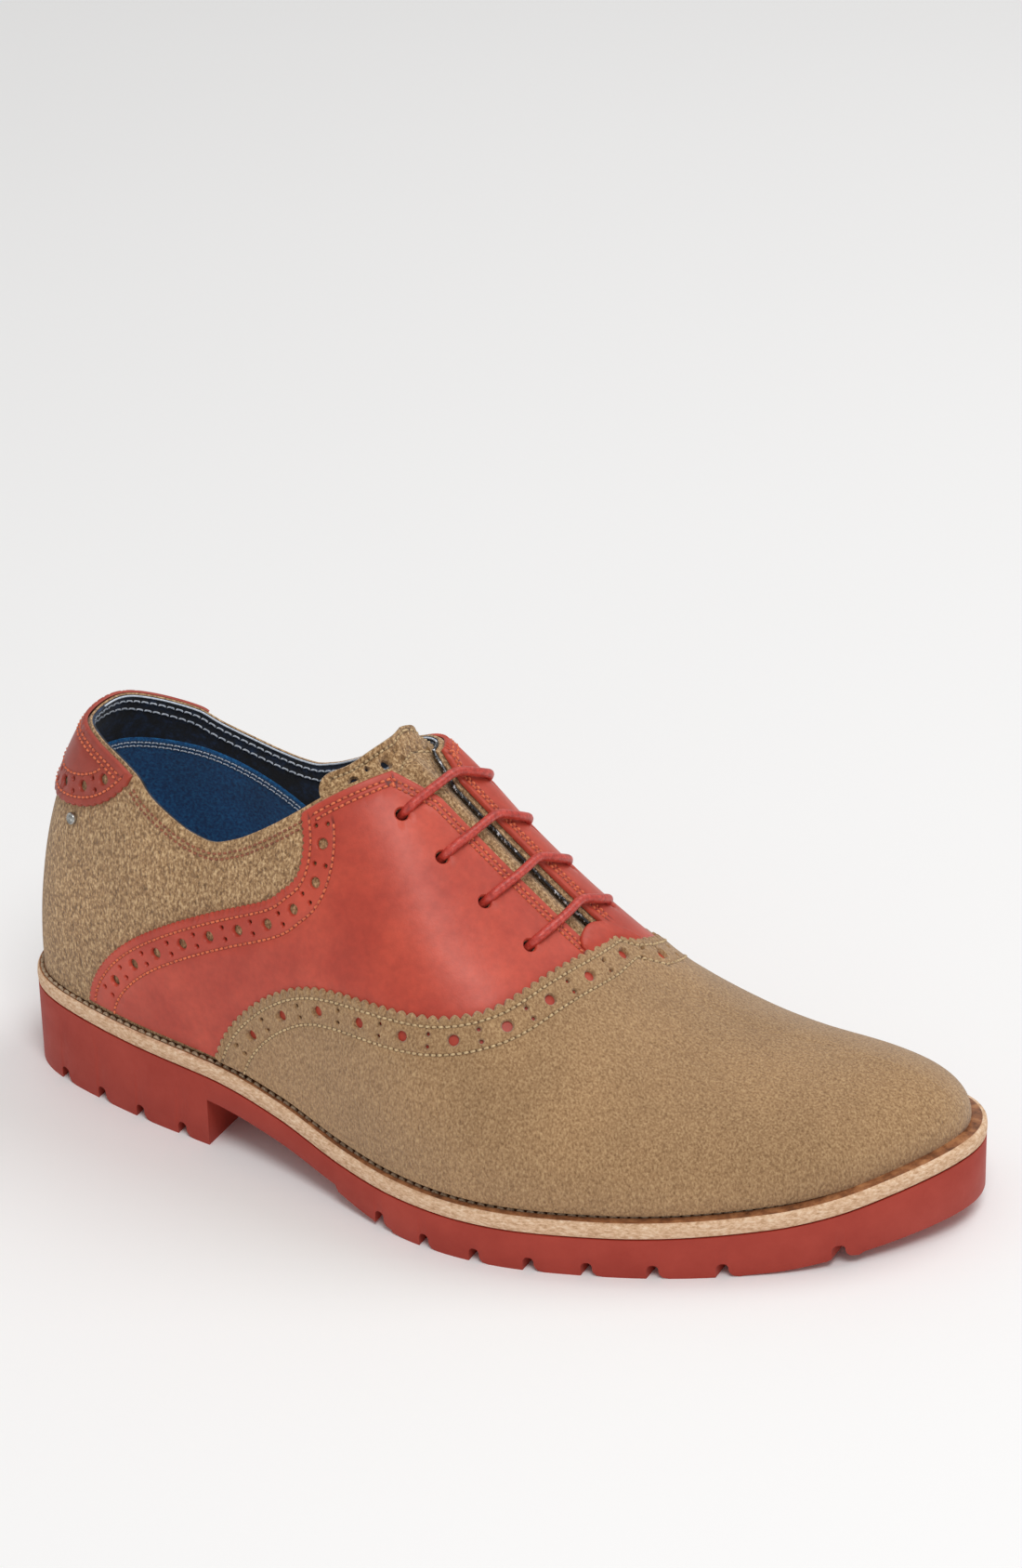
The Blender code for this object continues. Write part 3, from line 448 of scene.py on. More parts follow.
def placed(points):
    """Points of the shoe, moved so that the origin is under its middle."""
    moved = np.array(points, float)
    moved[..., :2] -= CENTRE
    return moved


def flat(row, v, side):
    """Place in the flat pattern: the crest line lies at 0, the outer side below it."""
    return np.array([row * FLAT_ROW, side * (1 - v) * FLAT_V])


def unflat(points):
    """Turn and v for places in the flat pattern."""
    points = np.asarray(points, float)
    row = points[:, 0] / FLAT_ROW
    v = 1 - np.abs(points[:, 1]) / FLAT_V
    turn = np.where(points[:, 1] > 0, TURN - row, row)
    return turn, np.clip(v, 0, 1)


def paced(corners, step):
    """Points at even steps along a chain of corners, the last one left out."""
    out = []
    for a, b in zip(corners[:-1], corners[1:]):
        a, b = np.asarray(a, float), np.asarray(b, float)
        count = max(1, round(float(np.linalg.norm(b - a)) / step))
        out.extend(a + (b - a) * i / count for i in range(count))
    return out


def inside(points, polygon):
    """Which points lie within a polygon."""
    points = np.asarray(points, float)
    result = np.zeros(len(points), bool)
    for a, b in zip(polygon, np.roll(polygon, -1, axis=0)):
        crosses = (a[1] > points[:, 1]) != (b[1] > points[:, 1])
        rise_ab = b[1] - a[1]
        x = a[0] + (points[:, 1] - a[1]) * (b[0] - a[0]) / (rise_ab if rise_ab else 1)
        result ^= crosses & (points[:, 0] < x)
    return result


def edge_distance(points, polygon):
    """Distance from points to a polygon's edge."""
    best = np.full(len(points), np.inf)
    for a, b in zip(polygon, np.roll(polygon, -1, axis=0)):
        along = b - a
        length = float(along @ along)
        share = np.clip((points - a) @ along / length, 0, 1) if length else np.zeros(len(points))
        gap = np.linalg.norm(points - (a + share[:, None] * along), axis=1)
        best = np.minimum(best, gap)
    return best


BAND_PAST = 0.01          # how far a profile runs past the sole
RAMP_RISE = 0.0054        # height of the tread's back end over the floor
RAMP_END = 0.525          # where the tread reaches the floor, in shares of LENGTH
STEP_RUN = 0.0012         # slope of the step at the tread's back end
FLARE_ROW = 7.05          # the tongue bends outwards behind this row
FLARE_ROWS = 0.4          # rows in which it comes to its full bend
FLARE_ROOM = 0.050        # share of a rib between the upper's edge and the bend
FLARE_RUN = 0.17          # share of a rib in which the tongue rises by FLARE
FLARE = 0.0065            # how far its free end stands out
PADDING = 0.0015          # how far it swells into the gap between the facings
RIVET_PLACE = (2.23, 0.359)
# Half of the free edge of the tab over the throat's end: row and v
TAB_EDGE = (
    (9.630, 0.868),
    (9.585, 0.885),
    (9.580, 0.915),
    (9.620, 0.957),
    (9.720, 1.000),
)

# The photograph's view
PHOTO_HEIGHT = 1687       # pixels
FOCAL = 4990              # pixels
AZIMUTH = 27.3
ELEVATION = 27.7
ROLL = -1.5
DISTANCE = 1.343
TARGET = (0.1611, 0.0, 0.1194)
SENSOR = 36.0

# The looks' own sizes, in metres
GRID = 0.0016             # spacing of a panel's inner nodes
FINE = 0.0011             # spacing along its plain edges
BEVEL = 0.0004            # rounding of a cut edge
TOOTH = 0.0031            # pitch of the vamp's scallops
TOOTH_DEPTH = 0.0014
GIMP = 0.0020             # pitch of the saddle's finer gimping
GIMP_DEPTH = 0.0006
STITCH = 0.0019           # pitch of the upper's stitches
THREAD = 0.00040          # radius of the thread
CHANNEL = 0.00030         # depth to which a stitched row pulls the leather down
BIG_HOLE = 0.00160        # radius of a punched hole
SMALL_HOLE = 0.00058
LAP = 0.0008              # the vamp's edge stands this much higher over the saddle
LAP_RUN = 0.010           # and comes down over this length
UNDERLAY = 0.0110         # how far the saddle runs under the vamp
ROW_EDGE = 0.0024         # first stitched row from an edge
CREST_ROOM = 0.0035       # rows that cross the crest line run straight over this half width
CREST_SHARE = 0.6         # and over this share of their distance from the edge
CREST_BLEND = 0.12        # share of a rib over which both sides' normals are made one
ROW_PAIR = 0.0017         # second row from the first
TRACK = 0.0006            # nodes lie this far to either side of a stitched row
RIM_LEVEL = 0.6           # height of a cut edge, as a share of the leather's thickness
SHARP = math.radians(50)  # edges sharper than this stay creased

# Soft troughs and ridges of wear: ends in the flat pattern, half width and depth
CREASES = (
    # row, v, side, row, v, side, half width, depth
    (10.6, 0.62, -1, 10.9, 0.95, 1, 0.0050, 0.00045),
    (11.3, 0.50, -1, 11.5, 0.80, -1, 0.0042, 0.00030),
    (11.2, 0.55, 1, 11.5, 0.85, 1, 0.0045, 0.00035),
    (4.3, 0.36, -1, 5.2, 0.44, -1, 0.0045, 0.00040),
    (1.2, 0.20, -1, 2.6, 0.26, -1, 0.0050, 0.00030),
    (4.2, 0.34, 1, 5.3, 0.45, 1, 0.0045, 0.00040),
    (6.3, 0.42, -1, 7.6, 0.50, -1, 0.0060, -0.00030),
    (8.2, 0.60, -1, 8.9, 0.70, -1, 0.0050, 0.00025),
)


def relief(points):
    """Height that the creases add to the lasted surface, at places in the flat pattern."""
    height = np.zeros(len(points))
    for row_a, v_a, side_a, row_b, v_b, side_b, half, depth in CREASES:
        a = flat(row_a, v_a, side_a)
        b = flat(row_b, v_b, side_b)
        along = b - a
        share = np.clip((points - a) @ along / (along @ along), 0, 1)
        gap = np.linalg.norm(points - (a + share[:, None] * along), axis=1)
        fade = np.sin(math.pi * (0.1 + 0.8 * share))
        height -= depth * fade * np.exp(-(gap / half) ** 2)
    return height


def surface(points, height=0.0):
    """Points of the flat pattern, laid on the shoe at a height over the last."""
    points = np.asarray(points, float)
    turn, v = unflat(points)
    level = np.asarray(relief(points) + height)
    return placed(shape(turn, v) + normals(points) * level[..., None])


def normals(points):
    """Unit normals of the surface, the same from both sides of the crest line."""
    turn, v = unflat(points)
    normal = facing(turn, v)
    near = v > 1 - CREST_BLEND
    if near.any():
        share = 0.5 * (1 - (1 - v[near]) / CREST_BLEND)[:, None]
        normal[near] += (facing(TURN - turn[near], v[near]) - normal[near]) * share
        normal[near] /= np.linalg.norm(normal[near], axis=-1, keepdims=True)
    return normal


def metric(points, reach=1e-4):
    """How the surface moves for one metre along each axis of the flat pattern."""
    over = (surface(points + (reach, 0)) - surface(points - (reach, 0))) / (2 * reach)
    up = (surface(points + (0, reach)) - surface(points - (0, reach))) / (2 * reach)
    return over, up


def sideways(points, along):
    """Steps in the flat pattern that go one metre to the left of a direction, on the surface."""
    over, up = metric(points)
    e, f, g = (over * over).sum(1), (over * up).sum(1), (up * up).sum(1)
    first = e * along[:, 0] + f * along[:, 1]
    second = f * along[:, 0] + g * along[:, 1]
    step = np.column_stack([-second, first])
    size = e * step[:, 0] ** 2 + 2 * f * step[:, 0] * step[:, 1] + g * step[:, 1] ** 2
    return step / np.sqrt(np.maximum(size, 1e-12))[:, None]


def even(chain, step):
    """The chain again, with points at even distances on the surface."""
    chain = np.asarray(chain, float)
    gaps = np.linalg.norm(np.diff(surface(chain), axis=0), axis=1)
    run = np.concatenate([[0], np.cumsum(gaps)])
    count = max(2, round(run[-1] / step) + 1)
    at = np.linspace(0, run[-1], count)
    return np.column_stack([np.interp(at, run, chain[:, 0]), np.interp(at, run, chain[:, 1])])


def beside(chain, distance):
    """The chain moved to its left on the surface."""
    chain = np.asarray(chain, float)
    return chain + sideways(chain, np.gradient(chain, axis=0)) * np.asarray(distance)[..., None]


def crossing(chain, distance):
    """The chain moved to its left, and straight over the crest line, where the pattern has a fold."""
    moved = beside(chain, distance)
    room = CREST_ROOM + CREST_SHARE * abs(distance)
    return moved[(np.abs(moved[:, 1]) > room) & (moved[:, 1] * chain[:, 1] > 0)]


def scalloped(chain, pitch, depth, samples=6):
    """Edge with round teeth that stand out to the right of the chain."""
    fine = even(chain, pitch / samples)
    wave = np.abs(np.sin(np.arange(len(fine)) * math.pi / samples))
    return beside(fine, -depth * (wave - 0.5))


def ring(centre, radius, count=16):
    """True circle on the surface, as places in the flat pattern."""
    centre = np.asarray(centre, float)[None]
    over, _ = metric(centre)
    ahead = np.array([[1.0, 0.0]]) / np.linalg.norm(over)
    left = sideways(centre, ahead)
    angle = np.linspace(0, 2 * math.pi, count, endpoint=False)[:, None]
    return centre + radius * (np.cos(angle) * ahead + np.sin(angle) * left)


def fine_curve(table, side, samples=160):
    """Smooth chain through a table of rows and v."""
    rows = np.array(table, float)
    path = spline(rows, bends(rows), np.linspace(0, len(rows) - 1, samples))
    return np.array([flat(row, v, side) for row, v in path])


def over_edge(turn, v):
    """How far a point lies past the collar or the facing: positive where there is no leather."""
    point = shape(turn, v)
    row = station(turn)
    past_top = point[..., 2] - collar_height(point[..., 0], point[..., 1])
    past_side = throat_half(point[..., 2]) - np.abs(point[..., 1] - crest(row)[..., 1] + THROAT_SIDE)
    throat = (point[..., 0] < THROAT_END * LENGTH) & (row > FACING_ROW)
    return np.maximum(past_top, np.where(throat, past_side, -1.0))


def upper_edges(turns, steps=400):
    """Highest v that is still leather, at many turns."""
    v = np.linspace(0, 1, steps)
    past = over_edge(turns[:, None], v[None])
    out = np.ones(len(turns))
    for i, line in enumerate(past):
        hits = np.nonzero(line > 0)[0]
        if len(hits):
            j = hits[0]
            out[i] = v[j] - (v[j] - v[j - 1]) * line[j] / (line[j] - line[j - 1])
    return out


def below_top(chain, room):
    """The chain's points that lie at least a share of a rib under the upper's top edge."""
    turn, v = unflat(chain)
    return chain[v < upper_edges(turn) - room]


def edge_chain(side, first, last, drop, step=FINE):
    """Chain a distance below the upper's top edge, between two rows."""
    rows = np.linspace(first, last, 240)
    turns = rows if side < 0 else TURN - rows
    tops = upper_edges(turns)
    chain = np.array([flat(row, top, side) for row, top in zip(rows, tops)])
    chain = even(chain, step)
    return beside(chain, drop * side)


def join(*chains):
    """One closed outline from chains that follow each other."""
    out = [np.asarray(chains[0])]
    for chain in chains[1:]:
        chain = np.asarray(chain)
        near = np.linalg.norm(chain[0] - out[-1][-1]) < FINE / 2
        out.append(chain[1:] if near else chain)
    whole = np.vstack(out)
    if np.linalg.norm(whole[0] - whole[-1]) < FINE / 2:
        whole = whole[:-1]
    return whole


def nodes_over(polygon, step=GRID):
    """Staggered grid over a polygon."""
    low = polygon.min(axis=0)
    high = polygon.max(axis=0)
    rows = np.arange(low[1], high[1], step * 0.866)
    out = []
    for i, y in enumerate(rows):
        x = np.arange(low[0] + (i % 2) * step / 2, high[0], step)
        out.append(np.column_stack([x, np.full(len(x), y)]))
    return np.vstack(out)


def far_from(points, others, room):
    """Which points keep a distance from a cloud of others."""
    tree = KDTree(len(others))
    for i, place in enumerate(others):
        tree.insert((*place, 0.0), i)
    tree.balance()
    return np.array([tree.find((*place, 0.0))[2] > room for place in points])


def cut_panel(polygon, holes, rows):
    """Triangles of a panel in the flat pattern, and how far each node lies from edges and rows."""
    rings = [ring(centre, radius, 16 if radius > SMALL_HOLE else 8) for centre, radius in holes]
    rims = [ring(centre, radius + BEVEL, 16 if radius > SMALL_HOLE else 8)
            for centre, radius in holes]
    tracks = []
    for row in rows:
        fine = even(row, FINE)
        tracks += [fine, beside(fine, TRACK), beside(fine, -TRACK)]
    lip = beside(np.vstack([polygon, polygon[:1]]), BEVEL)[:-1]
    lip = lip[inside(lip, polygon) & (edge_distance(lip, polygon) > BEVEL * 0.6)]
    special = np.vstack([lip] + rims + tracks)
    special = special[inside(special, polygon)]
    for loop in rings:
        special = special[~inside(special, loop)]
    keep = edge_distance(special, polygon) > BEVEL * 0.5
    special = special[keep]
    edges_all = np.vstack([polygon] + rings + [special])
    grid = nodes_over(polygon)
    grid = grid[inside(grid, polygon)]
    grid = grid[far_from(grid, edges_all, GRID * 0.6)]
    for loop in rings:
        grid = grid[~inside(grid, loop)]
    points = [Vector(p) for p in np.vstack([edges_all, grid])]
    links = []
    start = 0
    for loop in [polygon] + rings:
        links += [(start + i, start + (i + 1) % len(loop)) for i in range(len(loop))]
        start += len(loop)
    flat_points, _, faces = delaunay_2d_cdt(points, links, [], 0, 1e-8)[:3]
    flat_points = np.array([tuple(p) for p in flat_points])
    corners = np.array([list(f) for f in faces])
    middle = flat_points[corners].mean(axis=1)
    good = inside(middle, polygon)
    for loop in rings:
        good &= ~inside(middle, loop)
    folded = (np.abs(flat_points[:, 1]) < FOLD) | (flat_points[:, 0] > LAST_ROW * FLAT_ROW - FOLD)
    good &= ~folded[corners].all(axis=1)
    corners = corners[good]
    rim_points = np.vstack([polygon] + rings)
    on_rim = ~far_from(flat_points, rim_points, FOLD) & (flat_points[:, 0] < LAST_ROW * FLAT_ROW - FOLD)
    # nodes on a stitched row: the leather is pulled down there, and the finishes paint the channel's
    # shadow there
    seam = np.zeros(len(flat_points))
    for row in rows:
        fine = even(row, FINE)
        near = ~far_from(flat_points, fine, 0.0003)
        seam[near] = 1.0
    return flat_points, corners, on_rim, seam


def solid_from(name, top, bottom, faces, material, seam=None):
    """Closed leather piece from a top and a bottom sheet that share their faces."""
    used = np.unique(faces)
    index = np.full(len(top), -1)
    index[used] = np.arange(len(used))
    faces = index[faces]
    top, bottom = top[used], bottom[used]
    count = len(used)
    edges = np.vstack([faces[:, [0, 1]], faces[:, [1, 2]], faces[:, [2, 0]]])
    keys = set(map(tuple, edges))
    rim = [(a, b) for a, b in edges if (b, a) not in keys]
    mesh = bpy.data.meshes.new(name)
    walls = [(b, a, a + count, b + count) for a, b in rim]
    under = [(c + count, b + count, a + count) for a, b, c in faces]
    mesh.from_pydata(np.vstack([top, bottom]).tolist(), [], [tuple(map(int, f)) for f in faces.tolist()]
                     + [tuple(map(int, f)) for f in walls] + [tuple(map(int, f)) for f in under])
    # the stitched rows go along as an attribute, which the finishes darken as painted shadow of their
    # channels
    if seam is not None:
        values = mesh.attributes.new("seam", "FLOAT", "POINT")
        both = np.concatenate([seam[used], seam[used]]).astype(np.float32)
        values.data.foreach_set("value", both)
    form = bmesh.new()
    form.from_mesh(mesh)
    bmesh.ops.remove_doubles(form, verts=form.verts, dist=1e-6)
    inner = [face for face in form.faces if sum(len(edge.link_faces) > 2 for edge in face.edges) > 1]
    bmesh.ops.delete(form, geom=inner, context="FACES_ONLY")
    form.to_mesh(mesh)
    form.free()
    mesh.materials.append(material)
    mesh.shade_smooth()
    mesh.set_sharp_from_angle(angle=SHARP)
    return linked(name, mesh)


def panel(name, polygon, holes, rows, low, high, material):
    """Leather panel: cut from the flat pattern, laid on the shoe, rounded at its cut edges."""
    polygon = oriented(polygon)
    points, faces, on_rim, seam = cut_panel(polygon, holes, rows)
    bottom = low(points) if callable(low) else np.full(len(points), low)
    top = high(points) if callable(high) else np.full(len(points), high)
    lowered = top - CHANNEL * seam
    lowered = np.where(on_rim, bottom + (top - bottom) * RIM_LEVEL, lowered)
    a, b, c = (points[faces[:, k]] for k in range(3))
    turned = (b - a)[:, 0] * (c - a)[:, 1] - (b - a)[:, 1] * (c - a)[:, 0] < 0
    faces[turned] = faces[turned][:, ::-1]
    thing = solid_from(name, surface(points, lowered), surface(points, bottom), faces, material, seam)
    outwards(thing)
    return thing


def oriented(polygon):
    """The outline anticlockwise in the flat pattern."""
    x, y = polygon[:, 0], polygon[:, 1]
    area = (x * np.roll(y, -1) - np.roll(x, -1) * y).sum()
    return polygon if area > 0 else polygon[::-1]


def linked(name, data):
    """New object in the scene."""
    thing = bpy.data.objects.new(name, data)
    bpy.context.scene.collection.objects.link(thing)
    return thing


def outwards(thing):
    """Turn all faces outwards."""
    form = bmesh.new()
    form.from_mesh(thing.data)
    bmesh.ops.recalc_face_normals(form, faces=form.faces)
    form.to_mesh(thing.data)
    form.free()


# Stitches and other small things

STITCH_SHARES = (0.08, 0.27, 0.50, 0.73, 0.92)    # along one stitch
STITCH_ARCH = (-0.6, 0.35, 0.75, 0.35, -0.6)      # height of its middle in thread radii
STITCH_SWELL = (0.55, 0.95, 1.0, 0.95, 0.55)      # its radius at those places


def stitch_run(chain, height, pitch=STITCH, radius=THREAD):
    """Middles and normals of a row of stitches along a chain of the flat pattern."""
    fine = even(chain, pitch)
    shares = np.array(STITCH_SHARES)[None, :, None]
    places = fine[:-1, None] + (fine[1:, None] - fine[:-1, None]) * shares
    count = len(fine) - 1
    flat_places = places.reshape(-1, 2)
    level = height(flat_places) if callable(height) else np.full(len(flat_places), height)
    arch = np.tile(np.array(STITCH_ARCH) * radius, count)
    middles = surface(flat_places, level + arch)
    return middles.reshape(count, -1, 3), normals(flat_places).reshape(count, -1, 3)


def build_threads(name, runs, material, slot, radius=THREAD, sides=6):
    """All stitches of some rows as one mesh of small bent capsules."""
    middles = np.vstack([run[0] for run in runs])
    ups = np.vstack([run[1] for run in runs])
    along = np.gradient(middles, axis=1)
    along /= np.linalg.norm(along, axis=2, keepdims=True)
    across = np.cross(along, ups)
    across /= np.linalg.norm(across, axis=2, keepdims=True)
    angle = np.linspace(0, 2 * math.pi, sides, endpoint=False)
    size = (np.array(STITCH_SWELL) * radius)[None, :, None, None]
    rings = (middles[:, :, None] + size * (np.cos(angle)[None, None, :, None] * ups[:, :, None]
                                           + np.sin(angle)[None, None, :, None] * across[:, :, None]))
    count, steps = middles.shape[:2]
    one = capped(steps, sides)
    bases = range(0, count * steps * sides, steps * sides)
    faces = [tuple(base + i for i in face) for base in bases for face in one]
    return piece_from(name, rings.reshape(-1, 3), faces, material, slot)


def piece_from(name, points, faces, material, slot):
    """Mesh object that rides on the shoe."""
    mesh = bpy.data.meshes.new(name)
    mesh.from_pydata(np.asarray(points).tolist(), [], [tuple(map(int, f)) for f in faces])
    mesh.shade_smooth()
    mesh.materials.append(material)
    thing = linked(name, mesh)
    outwards(thing)
    return worn(thing, slot)


def worn(thing, slot, *nodes):
    """The piece rides on the shoe and stands for its solids; the slot is not used."""
    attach(thing, "root")
    if nodes:
        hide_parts(*nodes)
    return thing


def tube(path, radius, sides=10):
    """Points and faces of a tube along a path; the radius may change along it and round it."""
    path = np.asarray(path, float)
    along = np.gradient(path, axis=0)
    along /= np.linalg.norm(along, axis=1, keepdims=True)
    up = np.array([0.0, 0.0, 1.0])
    ups = []
    for a in along:
        up = up - a * (up @ a)
        up = up / np.linalg.norm(up)
        ups.append(up)
    ups = np.array(ups)
    across = np.cross(along, ups)
    angle = np.linspace(0, 2 * math.pi, sides, endpoint=False)
    size = np.broadcast_to(radius, (len(path),) if np.ndim(radius) < 2 else (len(path), sides))
    size = size if size.ndim == 2 else size[:, None]
    rings = path[:, None] + size[..., None] * (np.cos(angle)[None, :, None] * ups[:, None]
                                               + np.sin(angle)[None, :, None] * across[:, None])
    return rings.reshape(-1, 3), capped(len(path), sides)


def quads(rings, steps, closed=False):
    """Faces between neighbouring rings of points; closed joins the last ring to the first."""
    faces = []
    for i in range(rings if closed else rings - 1):
        ahead_by = (i + 1) % rings * steps
        for k in range(steps):
            beyond = (k + 1) % steps
            faces.append((i * steps + k, i * steps + beyond, ahead_by + beyond, ahead_by + k))
    return faces


def capped(rings, steps):
    """Faces of a tube of rings with both ends closed."""
    start = tuple(range(steps))[::-1]
    end = tuple((rings - 1) * steps + k for k in range(steps))
    return quads(rings, steps) + [start, end]


def gather(parts):
    """Several point and face lists as one."""
    points = []
    faces = []
    for some_points, some_faces in parts:
        start = sum(len(p) for p in points)
        points.append(some_points)
        faces += [tuple(start + i for i in f) for f in some_faces]
    return np.vstack(points), faces


# Pieces of the upper

ROWS_IN = (0.0026, 0.0106)        # stitched rows in from a gimped edge
HOLES_IN = 0.0065                 # line of the big holes
PAIR_OUT = 0.0018                 # small holes to either side of that line
VAMP_HOLE_PITCH = 0.0153
SADDLE_HOLE_PITCH = 0.0113
FIRST_HOLE = 0.0030               # from the welt
HOLE_STEP = 0.0005                # to which the place of a hole is rounded
COLLAR_ROWS = (0.0034, 0.0050)
TOP_DROP = 0.0013                 # suede that shows over the saddle's top edge
TOP_ROOM = 0.040                  # share of a rib between that edge and the rows that end below it
SADDLE_END = 9.78                 # row at which the saddle's top edge ends under the vamp
SADDLE_OFF_CREST = 0.004          # what it keeps from the crest line in the flat pattern
SADDLE_THIN = 0.55                # share of its thickness that it loses under the vamp
COVER_FROM = 0.0002               # the vamp covers it from here on in front of its own edge
COVER_RUN = 0.0015                # and wholly after this length
HOLE_RADII = 1.5                  # holes lie this many radii or more over the welt
LAP_ON_TOP = 0.75                 # share of the lap by which the vamp's outer face is raised
PUNCH_LENGTH = 0.012              # of the rods that cut the eyelets
RIB_TURNS = 480
RIB_ROWS = 44


def sewn(name, slot, nodes, sheet, crown, finish, thread):
    """Panel that rides on the shoe and stands for its solids, with a thread along each of its rows."""
    polygon, holes, rows, low, high = sheet
    worn(panel(name + "_panel", polygon, holes, rows, low, high, finish), slot, *nodes)
    build_threads(name + "_threads", [stitch_run(row, crown) for row in rows], thread, slot)


def hole_row(chain, pitch, first):
    """Big holes along a line with a pair of small ones between each two."""
    fine = even(chain, HOLE_STEP)
    total = (len(fine) - 1) * HOLE_STEP
    left = beside(fine, PAIR_OUT)
    right = beside(fine, -PAIR_OUT)
    holes = []
    at = first
    while at < total:
        holes.append((fine[int(at / HOLE_STEP)], BIG_HOLE))
        between = int((at + pitch / 2) / HOLE_STEP)
        if between < len(fine):
            holes.append((left[between], SMALL_HOLE))
            holes.append((right[between], SMALL_HOLE))
        at += pitch
    return holes


def ahead(table, side):
    """The table for one side: the inner one runs ahead of the outer between welt and crest."""
    if side < 0:
        return table
    return tuple((row + 4 * VAMP_AHEAD * v * (1 - v), v) for row, v in table)


def vamp_edge():
    """Upper edge of the vamp, from the welt outside over the crest to the welt inside."""
    outer = fine_curve(VAMP_EDGE, -1)
    inner = fine_curve(ahead(VAMP_EDGE, 1), 1)[::-1]
    whole = np.vstack([outer, inner[1:]])
    return whole[np.abs(whole[:, 1]) < FLAT_V * (1 - FOOT_V)]


VAMP_LINE = vamp_edge()


def vamp_lap(points):
    """How much higher the vamp lies near its edge over the saddle."""
    edge = VAMP_LINE[::4]
    gap = np.min(np.linalg.norm(points[:, None] - edge[None], axis=2), axis=1)
    share = np.clip(gap / LAP_RUN, 0, 1)
    return LAP * (1 - share * share * (3 - 2 * share))


def build_vamp(suede, thread):
    edge = scalloped(VAMP_LINE, TOOTH, -TOOTH_DEPTH)
    toe_in = flat(LAST_ROW, FOOT_V, 1)
    toe_out = flat(LAST_ROW, FOOT_V, -1)
    middle = flat(LAST_ROW, 1, 1)
    foot_in = flat(VAMP_EDGE[0][0], FOOT_V, 1)
    foot_out = flat(VAMP_EDGE[0][0], FOOT_V, -1)
    chain = paced([foot_in, toe_in, middle, toe_out, foot_out], GRID)
    polygon = np.vstack([edge, chain])
    rows = [crossing(VAMP_LINE, -d)[3:-3] for d in ROWS_IN]
    holes = hole_row(crossing(VAMP_LINE, -HOLES_IN), VAMP_HOLE_PITCH, FIRST_HOLE)
    holes = [h for h in holes if abs(h[0][1]) < FLAT_V * (1 - FOOT_V) - h[1] * HOLE_RADII]

    def low(points):
        return GAP + vamp_lap(points)

    def high(points):
        return GAP + VAMP + vamp_lap(points) * LAP_ON_TOP
    sewn("vamp", "suede", ["vamp"], (polygon, holes, rows, low, high),
         lambda p: high(p) - CHANNEL, suede, thread)


def build_saddle(name, side, leather, thread):
    back = fine_curve(SADDLE_BACK, side)
    back = below_top(back[np.abs(back[:, 1]) < FLAT_V * (1 - FOOT_V)], TOP_DROP / FLAT_V)
    edge = scalloped(back, GIMP, GIMP_DEPTH * side)
    top = edge_chain(side, back[-1][0] / FLAT_ROW, SADDLE_END, TOP_DROP)
    top = np.array([p for p in top if p[0] > edge[-1][0]])
    half = VAMP_LINE[VAMP_LINE[:, 1] * side > 0]
    half = half if side < 0 else half[::-1]
    front = beside(half, UNDERLAY * side)
    front = front[(np.abs(front[:, 1]) > SADDLE_OFF_CREST)
                  & (np.abs(front[:, 1]) < FLAT_V * (1 - FOOT_V))]
    front = even(front, FINE)[::-1]
    foot = even(np.array([flat(front[-1][0] / FLAT_ROW, FOOT_V, side),
                          flat(edge[0][0] / FLAT_ROW, FOOT_V, side)]), FINE)
    polygon = join(edge, top, front, foot)
    lower = beside(back, ROWS_IN[1] * side)
    rows = [beside(back, ROWS_IN[0] * side)[2:], lower[2:-6]]
    rows = [below_top(row, TOP_ROOM) for row in rows]
    rows += [beside(top, (ROW_EDGE + i * ROW_PAIR) * side)[2:-1] for i in (0, 1)]
    holes = hole_row(beside(back, HOLES_IN * side), SADDLE_HOLE_PITCH, FIRST_HOLE)
    holes = [h for h in holes if len(below_top(h[0][None], TOP_ROOM))]
    holes = [h for h in holes if abs(h[0][1]) < FLAT_V * (1 - FOOT_V) - h[1] * HOLE_RADII]
    holes += [(flat(row, EYELET_V, side), EYELET) for row in eyelet_rows(side)]

    def high(points):
        under = vamp_cover(points)
        return GAP + OVERLAY * (1 - SADDLE_THIN * under)
    sewn(name, "red_leather", [name], (polygon, holes, rows, GAP, high),
         GAP + OVERLAY - CHANNEL, leather, thread)


def eyelet_rows(side):
    return np.linspace(*(EYELET_ROWS if side < 0 else INNER_ROWS), BARS)


def vamp_cover(points):
    """1 where the vamp covers the saddle, 0 behind its edge."""
    edge = VAMP_LINE
    order = np.argsort(edge[:, 1])
    limit = np.interp(points[:, 1], edge[order, 1], edge[order, 0])
    return np.clip((points[:, 0] - limit - COVER_FROM) / COVER_RUN, 0, 1)


def heel_flat(turn, v):
    """Place in the flat pattern laid out with the heel in its middle."""
    return np.array([turn * FLAT_ROW, (v - 1) * FLAT_V])


PATCH_DROP = 0.0006               # the patch ends this far below the collar
PATCH_ROOM = 0.0020               # between its lower edge and its top one where they meet
PATCH_SEAMS = (0.0026, 0.0098)    # stitched rows in from its lower edge
PATCH_SEAM_ROOM = 0.0014          # which these and the holes keep from its outline
PATCH_HOLES = 0.0062              # line of its big holes
PATCH_HOLE_PITCH = 0.0094
PATCH_FIRST_HOLE = 0.0040
PATCH_HOLE_ROOM = 0.0012


